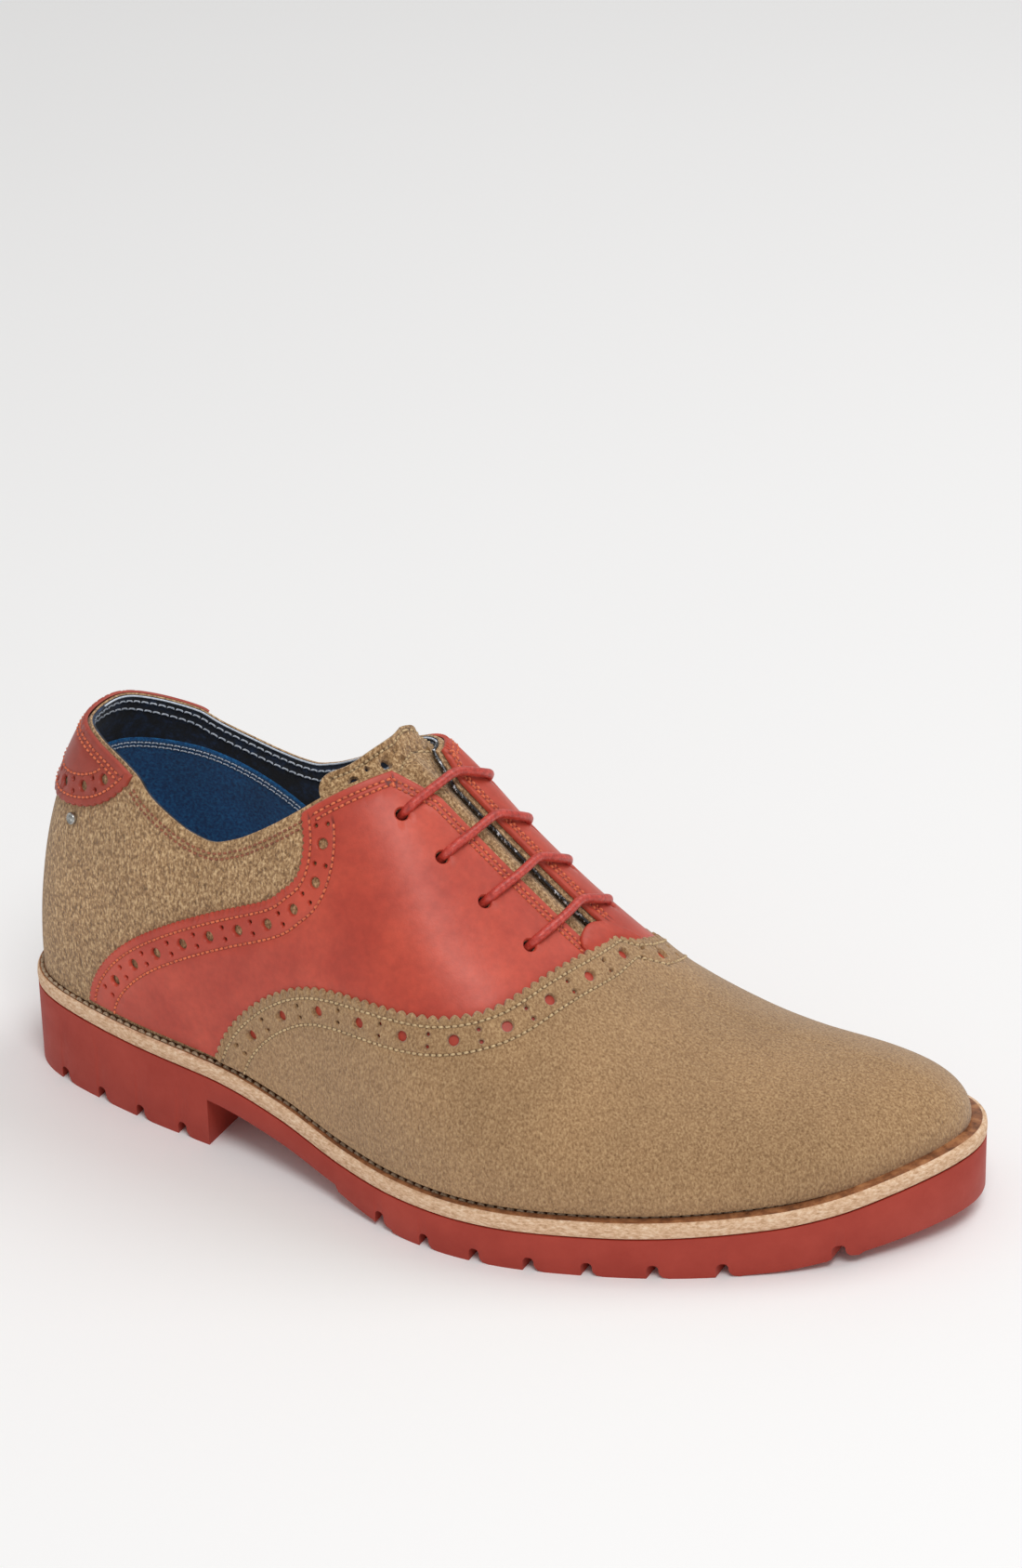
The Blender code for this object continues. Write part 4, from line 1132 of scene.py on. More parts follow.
def build_heel_patch(leather, thread):
    rows = np.array(PATCH_EDGE)
    outer = spline(rows, bends(rows), np.linspace(0, len(rows) - 1, 60))
    low = np.array([heel_flat(-r, v) for r, v in outer[::-1]] + [heel_flat(r, v) for r, v in outer[1:]])
    last = PATCH_EDGE[-1][0]
    turns = np.linspace(last, -last, 160)
    tops = upper_edges(turns)
    high = np.array([heel_flat(t, v) for t, v in zip(turns, tops)])
    high = beside(even(high, FINE), PATCH_DROP)
    low = low[low[:, 1] < np.interp(low[:, 0], high[::-1, 0], high[::-1, 1]) - PATCH_ROOM]
    edge = scalloped(low, TOOTH, GIMP_DEPTH)
    polygon = join(edge, high)
    seams = [beside(low, PATCH_SEAMS[0]), beside(low, PATCH_SEAMS[1])[10:-10]]
    seams += [beside(high, d - PATCH_DROP)[4:-4] for d in COLLAR_ROWS]
    seams = [s[inside(s, polygon) & (edge_distance(s, polygon) > PATCH_SEAM_ROOM)] for s in seams]
    holes = hole_row(beside(low, PATCH_HOLES)[4:-4], PATCH_HOLE_PITCH, PATCH_FIRST_HOLE)
    holes = [h for h in holes if inside(np.array([h[0]]), polygon)[0]
             and edge_distance(np.array([h[0]]), polygon)[0] > h[1] + PATCH_HOLE_ROOM]
    sewn("heel_patch", "red_leather", ["heel_patch"], (polygon, holes, seams, GAP, GAP + OVERLAY),
         GAP + OVERLAY - CHANNEL, leather, thread)


BACK_STRIP = 0.0030               # half the width of the strip over the back seam
STRIP = 0.0007                    # its thickness
STRIP_SEAMS = (0.55, -0.55)       # its stitched rows, in shares of that half width


def build_back_strip(leather, thread):
    middle = np.array([heel_flat(0, v) for v in np.linspace(FOOT_V, PATCH_EDGE[0][1], 60)])
    left = beside(middle, BACK_STRIP)
    right = beside(middle, -BACK_STRIP)
    polygon = join(even(right, FINE), even(left[::-1], FINE))
    seams = [beside(middle, BACK_STRIP * k) for k in STRIP_SEAMS]
    sewn("back_strip", "red_leather", [], (polygon, [], seams, GAP, GAP + STRIP),
         GAP + STRIP - CHANNEL, leather, thread)


def tongue_level(points):
    """Height of the tongue's inner face over the last, flared above the facings."""
    turn, v = unflat(points)
    row = station(turn)
    edge = np.maximum(upper_edges(row), upper_edges(TURN - row))
    above = np.sin(np.clip((v - edge - FLARE_ROOM) / FLARE_RUN, 0, 1) * math.pi / 2)
    back = np.clip((FLARE_ROW - row) / FLARE_ROWS, 0, 1)
    aside = (shape(turn, v)[:, 1] - crest(row)[:, 1] + THROAT_SIDE) / THROAT_GAP
    swell = np.where(row > FLARE_ROW, PADDING * np.clip(1 - aside ** 2, 0, 1), 0)
    return FLARE * above * back + swell - (WALL + SLACK + TONGUE)


TONGUE_TOP = 7.0                  # its stitched top edge lies behind this row
TONGUE_SIDE = 0.30                # and nearer to the crest line than this share of a rib
TONGUE_SEAMS = (0.0020, 0.0090)   # stitched rows in from the edge
TONGUE_HOLES = 0.0055
TONGUE_HOLE_PITCH = 0.0125
TONGUE_FIRST_HOLE = 0.0060


def build_tongue(suede, thread):
    rows = np.array(TONGUE_EDGE)
    half = spline(rows, bends(rows), np.linspace(0, len(rows) - 1, 200))
    outer = np.array([flat(row, 1 - away, -1) for row, away in half])
    inner = np.array([flat(max(row, TONGUE_INNER), 1 - away, 1) for row, away in half[::-1]])
    whole = even(np.vstack([outer, inner[1:]]), FINE)
    polygon = oriented(whole[:-1])
    ends = [part[(part[:, 0] < TONGUE_TOP * FLAT_ROW) & (np.abs(part[:, 1]) < TONGUE_SIDE * FLAT_V)]
            for part in (outer, inner)]
    top = even(np.vstack([ends[0], ends[1][1:]]), FINE)
    seams = [crossing(top, -d) for d in TONGUE_SEAMS]
    holes = hole_row(crossing(top, -TONGUE_HOLES), TONGUE_HOLE_PITCH, TONGUE_FIRST_HOLE)
    holes = [h for h in holes if abs(h[0][1]) > CREST_ROOM]

    def high(points):
        return tongue_level(points) + TONGUE
    sewn("tongue", "suede", ["tongue"], (polygon, holes, seams, tongue_level, high),
         lambda p: high(p) - CHANNEL, suede, thread)


TAB_UNDER = 0.12                  # rows of the tab that lie under the vamp
TAB_SINK = 0.0012                 # how far it goes down there
TAB_THIN = 0.5


def build_throat_tab(leather):
    back = [fine_curve(ahead(TAB_EDGE, side), side, 60) for side in (-1, 1)]
    ends = [fine_curve(ahead(VAMP_EDGE, side), side) for side in (-1, 1)]
    ends = [end[np.abs(end[:, 1]) < np.abs(edge[0, 1])] for end, edge in zip(ends, back)]
    under = np.vstack([ends[0], ends[1][-2::-1]]) + (TAB_UNDER * FLAT_ROW, 0)
    polygon = join(even(np.vstack([back[0], back[1][-2::-1]]), FINE), even(under[::-1], FINE))
    low = GAP + OVERLAY + GAP

    def lift(points):
        return low - TAB_SINK * vamp_cover(points)

    def top(points):
        return low + TAB * (1 - TAB_THIN * vamp_cover(points)) - TAB_SINK * vamp_cover(points)
    thing = panel("throat_tab_panel", polygon, [], [], lift, top, leather)
    worn(thing, "red_leather", "throat_tab")


def rib_sheet(low_v=0.0):
    """Grid from the welt to the top edge all round, as places in the flat pattern."""
    turns = np.linspace(0, TURN, RIB_TURNS, endpoint=False)
    tops = upper_edges(turns)
    share = np.linspace(0, 1, RIB_ROWS)
    v = low_v + (tops[:, None] - low_v) * share[None]
    row = np.broadcast_to(station(turns)[:, None], v.shape)
    side = np.where(turns > LAST_ROW, 1, -1)[:, None]
    points = np.stack([row * FLAT_ROW, side * (1 - v) * FLAT_V], -1).reshape(-1, 2)
    faces = []
    for i in range(RIB_TURNS):
        for j in range(RIB_ROWS - 1):
            a = i * RIB_ROWS + j
            b = (i + 1) % RIB_TURNS * RIB_ROWS + j
            faces += [(a, b, b + 1), (a, b + 1, a + 1)]
    return points, np.array(faces), np.tile(share, RIB_TURNS)


def punches():
    """Rods through all eyelets, as one cutter."""
    form = bmesh.new()
    for side in (-1, 1):
        for row in eyelet_rows(side):
            place = np.array([flat(row, EYELET_V, side)])
            matrix = Matrix.Translation(surface(place)[0])
            turn = Vector(normals(place)[0]).to_track_quat("Z", "Y").to_matrix().to_4x4()
            bmesh.ops.create_cone(form, cap_ends=True, segments=20, radius1=EYELET, radius2=EYELET,
                                  depth=PUNCH_LENGTH, matrix=matrix @ turn)
    mesh = bpy.data.meshes.new("punches")
    form.to_mesh(mesh)
    form.free()
    return linked("punches", mesh)


def cut_away(thing, cutter):
    """Boolean difference, applied."""
    knife = thing.modifiers.new("Cut", "BOOLEAN")
    knife.operation = "DIFFERENCE"
    knife.solver = "EXACT"
    knife.object = cutter
    settle(thing)


def settle(thing):
    """Apply the modifiers to the mesh."""
    evaluated = thing.evaluated_get(bpy.context.evaluated_depsgraph_get())
    mesh = bpy.data.meshes.new_from_object(evaluated)
    thing.modifiers.clear()
    thing.data = mesh


LINING_FROM = 0.55                # of the wall is suede, the rest its lining
LINING_SLIP = 0.00005             # between the suede and the lining
ROLLED_ROWS = 1.5                 # rows of the grid over which the top edge is rounded
EDGE_ROLL = 0.0004                # how far it goes down there


def build_quarters(suede, blue_lining):
    """Suede of the upper with its collar, and the lining inside it."""
    points, faces, share = rib_sheet()
    rolled = np.clip((1 - share) * RIB_ROWS / ROLLED_ROWS, 0, 1)
    top = surface(points, -EDGE_ROLL * (1 - rolled))
    middle = surface(points, np.full(len(points), -WALL * LINING_FROM))
    inner = surface(points, np.full(len(points), -WALL))
    cutter = punches()
    quarters = solid_from("upper_suede", top, middle, faces, suede)
    outwards(quarters)
    cut_away(quarters, cutter)
    worn(quarters, "suede", "upper")
    second = surface(points, np.full(len(points), -WALL * LINING_FROM - LINING_SLIP))
    lining = solid_from("lining", second, inner, faces, blue_lining)
    outwards(lining)
    cut_away(lining, cutter)
    worn(lining, "blue_lining")
    bpy.data.objects.remove(cutter, do_unlink=True)


COLLAR_END = 7.25                 # the collar's rows run from the heel to this one
PATCH_TO_SADDLE = (3.35, 5.85)    # its outer stitches run between these rows
COLLAR_SINK = 0.3                 # depth of those stitches, in shares of CHANNEL
LINING_ROWS = (0.0022, 0.0058)    # the lining's stitched rows, below the collar's edge
LINING_STITCH = 0.0028
LINING_THREAD = THREAD * 1.1
LINING_PROUD = 0.0001             # their height off the lining
RIM_TUBE_LEVEL = 0.92               # depth of the pale tube along the collar's rim, in shares of WALL
TAPE_ROWS = (7.0, 9.75)           # first and last row of the shiny edge
TAPE_OUT = 0.0002                 # half of what it stands out past the inner facing's edge
TAPE_LEVEL = 0.80                 # its depth, in shares of WALL
TAPE_LEAN = 0.15                  # by which it lies deeper on the outer side and higher on the inner


def collar_chains(drop):
    """Chains of the collar's two sides, from the heel to the facings, a distance below the edge."""
    return [edge_chain(side, 0.0, COLLAR_END, drop) for side in (-1, 1)]


def build_collar_threads(thread, white):
    runs = []
    for drop in COLLAR_ROWS:
        for side in (-1, 1):
            chain = edge_chain(side, *PATCH_TO_SADDLE, drop)
            runs.append(stitch_run(chain, -CHANNEL * COLLAR_SINK))
    build_threads("collar_threads", runs, thread, "suede")
    inner = []
    for drop in LINING_ROWS:
        for chain in collar_chains(drop):
            inner.append(stitch_run(chain, -WALL - LINING_PROUD, LINING_STITCH, LINING_THREAD))
    flipped = [(middles, -ups) for middles, ups in inner]
    build_threads("lining_threads", flipped, white, "blue_lining", LINING_THREAD)


RIM_TUBE = 0.00030                  # radius of the pale tube along the collar's rim
TAPE = 0.00055                    # radius of the shiny edge


def build_collar_rim_tube(pale):
    """Thin pale tube along the collar's inner rim, just inside the lining's top edge."""
    chain = collar_chains(0.0)[1]
    points, faces = tube(surface(chain, np.full(len(chain), -WALL * RIM_TUBE_LEVEL)), RIM_TUBE, 8)
    piece_from("collar_rim_tube", points, faces, pale, "blue_lining")


def build_facing_tape_and_shade(black):
    """Shiny black edge of the lining under each facing, beside the tongue; its black is also painted
    shade of the gap there.
    """
    paths = []
    for side in (-1, 1):
        chain = edge_chain(side, *TAPE_ROWS, -TAPE_OUT * (1 + side))
        level = np.full(len(chain), -WALL * (TAPE_LEVEL - TAPE_LEAN * side))
        paths.append(tube(surface(chain, level), TAPE, 10))
    points, faces = gather(paths)
    piece_from("facing_tape_and_shade", points, faces, black, "blue_lining")


HEEL_SEAM = (
    # turn from the outer side round the heel to the inner one, height up the rib
    (4.6, 0.10),
    (3.4, 0.24),
    (1.8, 0.355),
    (0.0, 0.405),
    (-1.6, 0.42),
    (-3.2, 0.40),
    (-4.6, 0.31),
    (-5.8, 0.18),
)
HEEL_LINING = 0.0007              # its thickness
HEEL_LINING_OFF = 0.0002          # between it and the lining
HEEL_LINING_FOOT = 0.02           # height of its lower edge up the rib
HEEL_LINING_ROWS = (0.0016, 0.0031)
HEEL_LINING_STITCH = 0.0024


def build_heel_lining(blue_suede, white):
    """Suede lining of the heel, stitched over the lining along a curved seam."""
    rows = np.array(HEEL_SEAM)
    seam = spline(rows, bends(rows), np.linspace(0, len(rows) - 1, 120))
    top = np.array([heel_flat(t, v) for t, v in seam])
    top = even(top, FINE)
    foot = np.linspace(HEEL_SEAM[-1][0], HEEL_SEAM[0][0], 100)
    low = np.array([heel_flat(t, HEEL_LINING_FOOT) for t in foot])
    polygon = join(top, even(low, FINE * 2))
    outer_face = -WALL - HEEL_LINING_OFF
    inner_face = outer_face - HEEL_LINING
    rows_in = [beside(top, d)[2:-2] for d in HEEL_LINING_ROWS]
    # the marks of its stitched rows become painted shadow of their channels in the finish
    points, faces, on_rim, seam_shade_marks = cut_panel(oriented(polygon), [], rows_in)
    inner_level = np.where(on_rim, outer_face - HEEL_LINING * 0.4, inner_face)
    thing = solid_from("heel_lining", surface(points, inner_level), surface(points, outer_face), faces,
                       blue_suede, seam_shade_marks)
    outwards(thing)
    worn(thing, "blue_lining")
    runs = [stitch_run(r, inner_face, HEEL_LINING_STITCH) for r in rows_in]
    build_threads("heel_lining_threads", [(m, -u) for m, u in runs], white, "blue_lining")


# Sole, laces and rivet

SOLE_STEPS = 360
PROFILE_STEPS = 220
LUG_ROUND = 0.0030                # rounding of a lug's back edge
ARCH = 1.25                       # a groove's height to that of its solid
NOTCH_ROUND = 0.0012              # rounding at the top of a groove
RUBBER_BEVEL = 0.0004
RAMP_CURVE = 1.6                  # makes the tread's back end run out flat
RAMP_ROOM = 0.0020                # between its last point and the first one of the flat part
WELT_STEPS = 600


def prism(name, polygon, upright, low, high):
    """Closed prism over a plan polygon, or over a side profile if it isn't upright."""
    form = bmesh.new()
    ends = []
    for level in (low, high):
        loop = [(x, y, level) if upright else (x, level, y) for x, y in polygon]
        ends.append([form.verts.new(p) for p in loop])
    form.faces.new(ends[0])
    form.faces.new(ends[1])
    count = len(polygon)
    for i in range(count):
        j = (i + 1) % count
        form.faces.new((ends[0][i], ends[0][j], ends[1][j], ends[1][i]))
    bmesh.ops.recalc_face_normals(form, faces=form.faces)
    mesh = bpy.data.meshes.new(name)
    form.to_mesh(mesh)
    form.free()
    return linked(name, mesh)


def notch(x, floor):
    """Outline of one groove between two lugs, from its heel side to its toe side."""
    half = GROOVE_WIDTH / 2
    top = floor + GROOVE_DEPTH * ARCH
    return [
        (x - half, floor),
        (x - half, top - NOTCH_ROUND),
        (x - half * 0.75, top - NOTCH_ROUND / 3),
        (x - half * 0.35, top),
        (x + half * 0.35, top),
        (x + half * 0.75, top - NOTCH_ROUND / 3),
        (x + half, top - NOTCH_ROUND),
        (x + half, floor + LUG_ROUND * 0.8),
        (x + half + LUG_ROUND * 0.10, floor + LUG_ROUND * 0.45),
        (x + half + LUG_ROUND * 0.38, floor + LUG_ROUND * 0.14),
        (x + half + LUG_ROUND, floor),
    ]


def under_side():
    """Underside of the rubber from behind the heel to past the toe, with its lugs."""
    ramp_end = RAMP_END * LENGTH
    points = [(-BAND_PAST, 0.0)]
    for share in HEEL_GROOVES:
        points += notch(share * LENGTH, 0.0)
    points.append((BREAST, 0.0))
    points += [(x, float(sole_top(x)) - SHANK) for x in np.linspace(BREAST, TREAD_START, 30)]
    span = ramp_end - TREAD_START
    ground = [(x, RAMP_RISE * ((ramp_end - x) / span) ** RAMP_CURVE)
              for x in np.linspace(TREAD_START + STEP_RUN, ramp_end, 24)]
    flat_part = np.linspace(ramp_end + RAMP_ROOM, LENGTH + BAND_PAST, 90)
    ground += [(x, float(tread_line(x))) for x in flat_part]
    line = np.array(ground)
    cuts = []
    for share in TOE_GROOVES:
        x = share * LENGTH
        cuts.append(notch(x, float(np.interp(x, line[:, 0], line[:, 1]))))
    for x, z in ground:
        while cuts and x > cuts[0][0][0]:
            points += cuts.pop(0)
        if x > points[-1][0] + 1e-5:
            points.append((x, z))
    return points


def build_outsole(rubber):
    turn = np.linspace(0, TURN, SOLE_STEPS, endpoint=False)
    plan = [tuple(p) for p in outline(turn) - CENTRE]
    thing = prism("outsole_rubber", plan, True, -BAND_PAST, CREST / 2)
    over = [(x, float(sole_top(x))) for x in np.linspace(LENGTH + BAND_PAST, -BAND_PAST, PROFILE_STEPS)]
    side = [(x - CENTRE[0], z) for x, z in under_side() + over]
    knife = prism("outsole_profile", side, False, -WIDTH, WIDTH)
    tool = thing.modifiers.new("Profile", "BOOLEAN")
    tool.operation = "INTERSECT"
    tool.solver = "EXACT"
    tool.object = knife
    settle(thing)
    bpy.data.objects.remove(knife, do_unlink=True)
    thing.data.materials.clear()
    thing.data.materials.append(rubber)
    soften = thing.modifiers.new("Edges", "BEVEL")
    soften.width = RUBBER_BEVEL
    soften.segments = 2
    soften.limit_method = "ANGLE"
    soften.angle_limit = math.radians(60)
    soften.use_clamp_overlap = True
    settle(thing)
    thing.data.shade_smooth()
    thing.data.set_sharp_from_angle(angle=math.radians(35))
    worn(thing, "red_rubber", "outsole")


WELT_SECTION = (
    # way in from the edge, height: shares of WELT; then 1 where it counts from the upper instead
    (0.10, 0.00, 0),
    (0.00, 0.10, 0),
    (-0.03, 0.50, 0),
    (0.00, 0.84, 0),
    (0.09, 0.97, 0),
    (0.28, 1.00, 0),
    (-0.34, 1.00, 1),
    (-0.24, 0.94, 1),
    (-0.12, 0.90, 1),
    (0.02, 0.90, 1),
    (0.30, 0.96, 1),
    (1.90, 0.96, 1),
    (1.90, 0.05, 1),
)


WELT_CLEAR = 0.36                 # what stays free beside the upper, in shares of WELT
TOP_FACES = range(5, 11)          # steps of the section that are the brown top


def welt_places(turn, inward, from_upper, height):
    """Points of the welt at a way in from its edge, or from the upper's foot."""
    edge = outline(turn)
    room = margin(edge[..., 0])
    near_edge = np.minimum(inward * WELT, room - WELT_CLEAR * WELT)
    depth = np.where(from_upper, inward * WELT + room, near_edge)
    plan = inset(turn, depth) - CENTRE
    level = sole_top(edge[..., 0]) + GAP + height * WELT
    return np.concatenate([plan, level[..., None]], -1)


def build_welt(side_finish, top_finish):
    turn = np.linspace(0, TURN, WELT_STEPS, endpoint=False)
    rings = np.stack([welt_places(turn, inward, bool(k), h) for inward, h, k in WELT_SECTION], 1)
    steps = len(WELT_SECTION)
    faces = quads(WELT_STEPS, steps, closed=True)
    thing = piece_from("welt_strip", rings.reshape(-1, 3), faces, side_finish, "natural_leather")
    thing.data.materials.append(top_finish)
    for i, face in enumerate(thing.data.polygons):
        if i % steps in TOP_FACES:
            face.material_index = 1
    thing.data.set_sharp_from_angle(angle=math.radians(60))
    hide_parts("welt")


WELT_STITCH = 0.0030
WELT_THREAD = THREAD * 1.4
WELT_LINE = (-0.17, True, 0.94)   # where the stitches run: way in from the upper's foot and height
WELT_CROWN = (-0.17, True, 0.95)  # and the same for their middles


def build_welt_threads(thread):
    turn = np.linspace(0, TURN, 2400)
    line = welt_places(turn, *WELT_LINE)
    run = np.concatenate([[0], np.cumsum(np.linalg.norm(np.diff(line, axis=0), axis=1))])
    count = round(run[-1] / WELT_STITCH)
    starts = np.interp(np.linspace(0, run[-1], count + 1), run, turn)
    shares = np.array(STITCH_SHARES)
    turns = starts[:-1, None] + (starts[1:] - starts[:-1])[:, None] * shares[None]
    flat_turns = turns.ravel()
    middles = welt_places(flat_turns, *WELT_CROWN)
    middles[:, 2] += np.tile(np.array(STITCH_ARCH), count) * WELT_THREAD
    ups = np.tile((0.0, 0.0, 1.0), (len(middles), 1))
    run = (middles.reshape(count, -1, 3), ups.reshape(count, -1, 3))
    build_threads("welt_threads", [run], thread, "natural_leather", WELT_THREAD)


LACE_STEP = 0.00022
LACE_SIDES = 40
BRAID = 0.0021                    # length of one diamond of the braid
BRAID_STRANDS = 8
BRAID_DEPTH = 0.07                # of the lace's radius
DIVE = 0.0026                     # how deep the lace goes into an eyelet
LACE_RADIUS = 0.0014
LACE_ROOM = 0.0002                # between it and the leather
LACE_OVER = GAP + OVERLAY + LACE_RADIUS + LACE_ROOM
DIVE_RUN = 0.0040                 # length in which it turns down into the eyelet
LACE_ARCH = 0.0010                # how far its middle stands off the leather
SMOOTHING = 240                   # rounds in which its path is made even


def bar_path(row, inner_row):
    """Middle line of one lace bar: out of the outer eyelet, over the facings, into the inner one."""
    start = flat(row, EYELET_V, -1)
    end = flat(inner_row, EYELET_V, 1)
    share = np.linspace(0, 1, 200)[:, None]
    chain = start + (end - start) * share
    chain[:, 0] += np.sin(share[:, 0] * math.pi) * BAR_ARCH * FLAT_ROW
    run = np.concatenate([[0], np.cumsum(np.linalg.norm(np.diff(surface(chain), axis=0), axis=1))])
    ends = np.minimum(run, run[-1] - run)
    height = LACE_OVER - (LACE_OVER + DIVE) * np.clip(1 - ends / DIVE_RUN, 0, 1) ** 2
    path = surface(chain, height + LACE_ARCH * np.sin(share[:, 0] * math.pi) ** 2)
    free = np.clip(ends / DIVE_RUN - 1, 0.2, 1)[1:-1, None]
    for _ in range(SMOOTHING):
        path[1:-1] += free * (path[:-2] + path[2:] - 2 * path[1:-1]) / 4
    gaps = np.concatenate([[0], np.cumsum(np.linalg.norm(np.diff(path, axis=0), axis=1))])
    at = np.arange(0, gaps[-1], LACE_STEP)
    return np.column_stack([np.interp(at, gaps, path[:, k]) for k in range(3)])


def build_laces(finish_of_lace):
    parts = []
    angle = np.linspace(0, 2 * math.pi, LACE_SIDES, endpoint=False)
    for row, inner_row in zip(eyelet_rows(-1), eyelet_rows(1)):
        path = bar_path(row, inner_row)
        along = np.arange(len(path))[:, None] * LACE_STEP * 2 * math.pi / BRAID
        spin = angle[None] * BRAID_STRANDS / 2
        braid = np.maximum(np.abs(np.sin(along / 2 + spin)), np.abs(np.sin(along / 2 - spin)))
        radius = LACE_RADIUS * (1 - BRAID_DEPTH + BRAID_DEPTH * braid)
        parts.append(tube(path, radius, LACE_SIDES))
    points, faces = gather(parts)
    piece = piece_from("laces", points, faces, finish_of_lace, "lace")
    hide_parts(*[f"lace_bar_{i + 1}" for i in range(BARS)])


RIVET_PROFILE = (
    # radius and height in shares of RIVET and RIVET_HEIGHT
    (0.00, 0.86),
    (0.30, 0.84),
    (0.42, 0.72),
    (0.52, 0.66),
    (0.62, 0.72),
    (0.74, 0.95),
    (0.86, 1.00),
    (0.96, 0.86),
    (1.00, 0.45),
    (1.00, 0.00),
    (0.00, 0.00),
)


def build_rivet(metal, sides=48):
    place = np.array([flat(RIVET_PLACE[0], RIVET_PLACE[1], -1)])
    middle = surface(place, GAP)[0]
    up = normals(place)[0]
    ahead = np.cross(up, (0.0, 0.0, 1.0))
    ahead /= np.linalg.norm(ahead)
    left = np.cross(up, ahead)
    points = []
    for radius, height in RIVET_PROFILE[1:-1]:
        for angle in np.linspace(0, 2 * math.pi, sides, endpoint=False):
            out = ahead * math.cos(angle) + left * math.sin(angle)
            points.append(middle + out * radius * RIVET + up * height * RIVET_HEIGHT)
    rings = len(RIVET_PROFILE) - 2
    faces = quads(rings, sides)
    top = len(points)
    points.append(middle + up * RIVET_PROFILE[0][1] * RIVET_HEIGHT)
    points.append(middle)
    last = (rings - 1) * sides
    for k in range(sides):
        faces.append((k, (k + 1) % sides, top))
        faces.append((last + k, last + (k + 1) % sides, top + 1))
    piece = piece_from("rivet_cap", points, faces, metal, "pewter")
    piece.data.set_sharp_from_angle(angle=SHARP)
    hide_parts("rivet")


# Finishes

def node(tree, kind, inputs=None, **settings):
    """Shader node; an input is a number or another node's socket."""
    made = tree.nodes.new(kind)
    for key, value in settings.items():
        setattr(made, key, value)
    for key, value in (inputs or {}).items():
        if isinstance(value, bpy.types.NodeSocket):
            tree.links.new(value, made.inputs[key])
        else:
            made.inputs[key].default_value = value
    return made


def start_finish(name, sockets):
    material = bpy.data.materials.new(name)
    material.use_nodes = True
    tree = material.node_tree
    shader = tree.nodes["Principled BSDF"]
    for socket, value in sockets.items():
        shader.inputs[socket].default_value = value
    return material, tree, shader


def place_of(tree, stretch=None):
    place = node(tree, "ShaderNodeTexCoord").outputs["Object"]
    if stretch:
        place = node(tree, "ShaderNodeMapping", {"Vector": place, "Scale": stretch}).outputs[0]
    return place


def noise(tree, scale, detail=3.0, rough=0.55, stretch=None):
    inputs = {"Vector": place_of(tree, stretch), "Scale": scale, "Detail": detail, "Roughness": rough}
    return node(tree, "ShaderNodeTexNoise", inputs).outputs[0]


def cells(tree, scale, feature="F1"):
    made = node(tree, "ShaderNodeTexVoronoi", {"Vector": place_of(tree), "Scale": scale}, feature=feature)
    return made.outputs[0]


def ramp(tree, value, stops):
    made = node(tree, "ShaderNodeValToRGB", {"Fac": value})
    bar = made.color_ramp.elements
    while len(bar) < len(stops):
        bar.new(0.5)
    for element, (place, colour) in zip(bar, stops):
        element.position = place
        element.color = (*colour, 1) if len(colour) == 3 else colour
    return made.outputs[0]


def grey(value):
    return (value, value, value)


def mixed(tree, factor, first, second, way="MIX"):
    made = node(tree, "ShaderNodeMix", data_type="RGBA", blend_type=way)
    for index, value in ((0, factor), (6, first), (7, second)):
        if isinstance(value, bpy.types.NodeSocket):
            tree.links.new(value, made.inputs[index])
        elif index == 0:
            made.inputs[index].default_value = value
        else:
            made.inputs[index].default_value = (*value, 1)
    return made.outputs[2]


def bumped(tree, height, distance, strength=1.0, below=None):
    inputs = {"Height": height, "Distance": distance, "Strength": strength}
    if below:
        inputs["Normal"] = below
    return node(tree, "ShaderNodeBump", inputs).outputs[0]


def clouded(tree, colour, pattern, darkest, lightest):
    """The colour, made darker and lighter by a pattern."""
    shades = ramp(tree, pattern, [(0.35, grey(darkest)), (0.65, grey(lightest))])
    return mixed(tree, 1.0, colour, shades, "MULTIPLY")


def speckled_finish(name, sockets, speck, stops, bump=None, rough=None):
    """Finish whose colour follows one noise, and its relief and roughness where they are given."""
    material, tree, shader = start_finish(name, sockets)
    specks = noise(tree, *speck)
    tree.links.new(ramp(tree, specks, stops), shader.inputs["Base Color"])
    if rough:
        tree.links.new(ramp(tree, specks, rough), shader.inputs["Roughness"])
    if bump:
        tree.links.new(bumped(tree, specks, *bump), shader.inputs["Normal"])
    return material


# Stitched rows, read from the mesh, where the finishes paint the shadow of their channels
def seam_shade(tree):
    return node(tree, "ShaderNodeAttribute", attribute_name="seam").outputs["Fac"]


def suede_finish(name, dark, middle, light, grain, depth, contrast=1.0):
    """Napped suede: speckled fibres over soft clouds, with painted shadow along its stitched rows."""
    material, tree, shader = start_finish(name, {
        "Roughness": 0.96, "Specular IOR Level": 0.15, "Sheen Weight": 0.25, "Sheen Roughness": 0.6})
    fibres = noise(tree, grain, 4, 0.65, (1.0, 1.0, 0.6))
    clouds = noise(tree, 34, 3, 0.5)
    spread = 0.16 / contrast
    colour = ramp(tree, fibres, [(0.5 - spread, dark), (0.5, middle), (0.5 + spread, light)])
    colour = clouded(tree, colour, clouds, 0.93, 1.05)
    # painted shadow of the stitch channels: the colour goes dark along the stitched rows
    colour = mixed(tree, seam_shade(tree), colour, tuple(c * 0.4 for c in dark))
    tree.links.new(colour, shader.inputs["Base Color"])
    tufts = noise(tree, grain * 0.45, 3, 0.6)
    normal = bumped(tree, fibres, depth, 0.8)
    tree.links.new(bumped(tree, tufts, depth * 1.3, 0.5, normal), shader.inputs["Normal"])
    return material


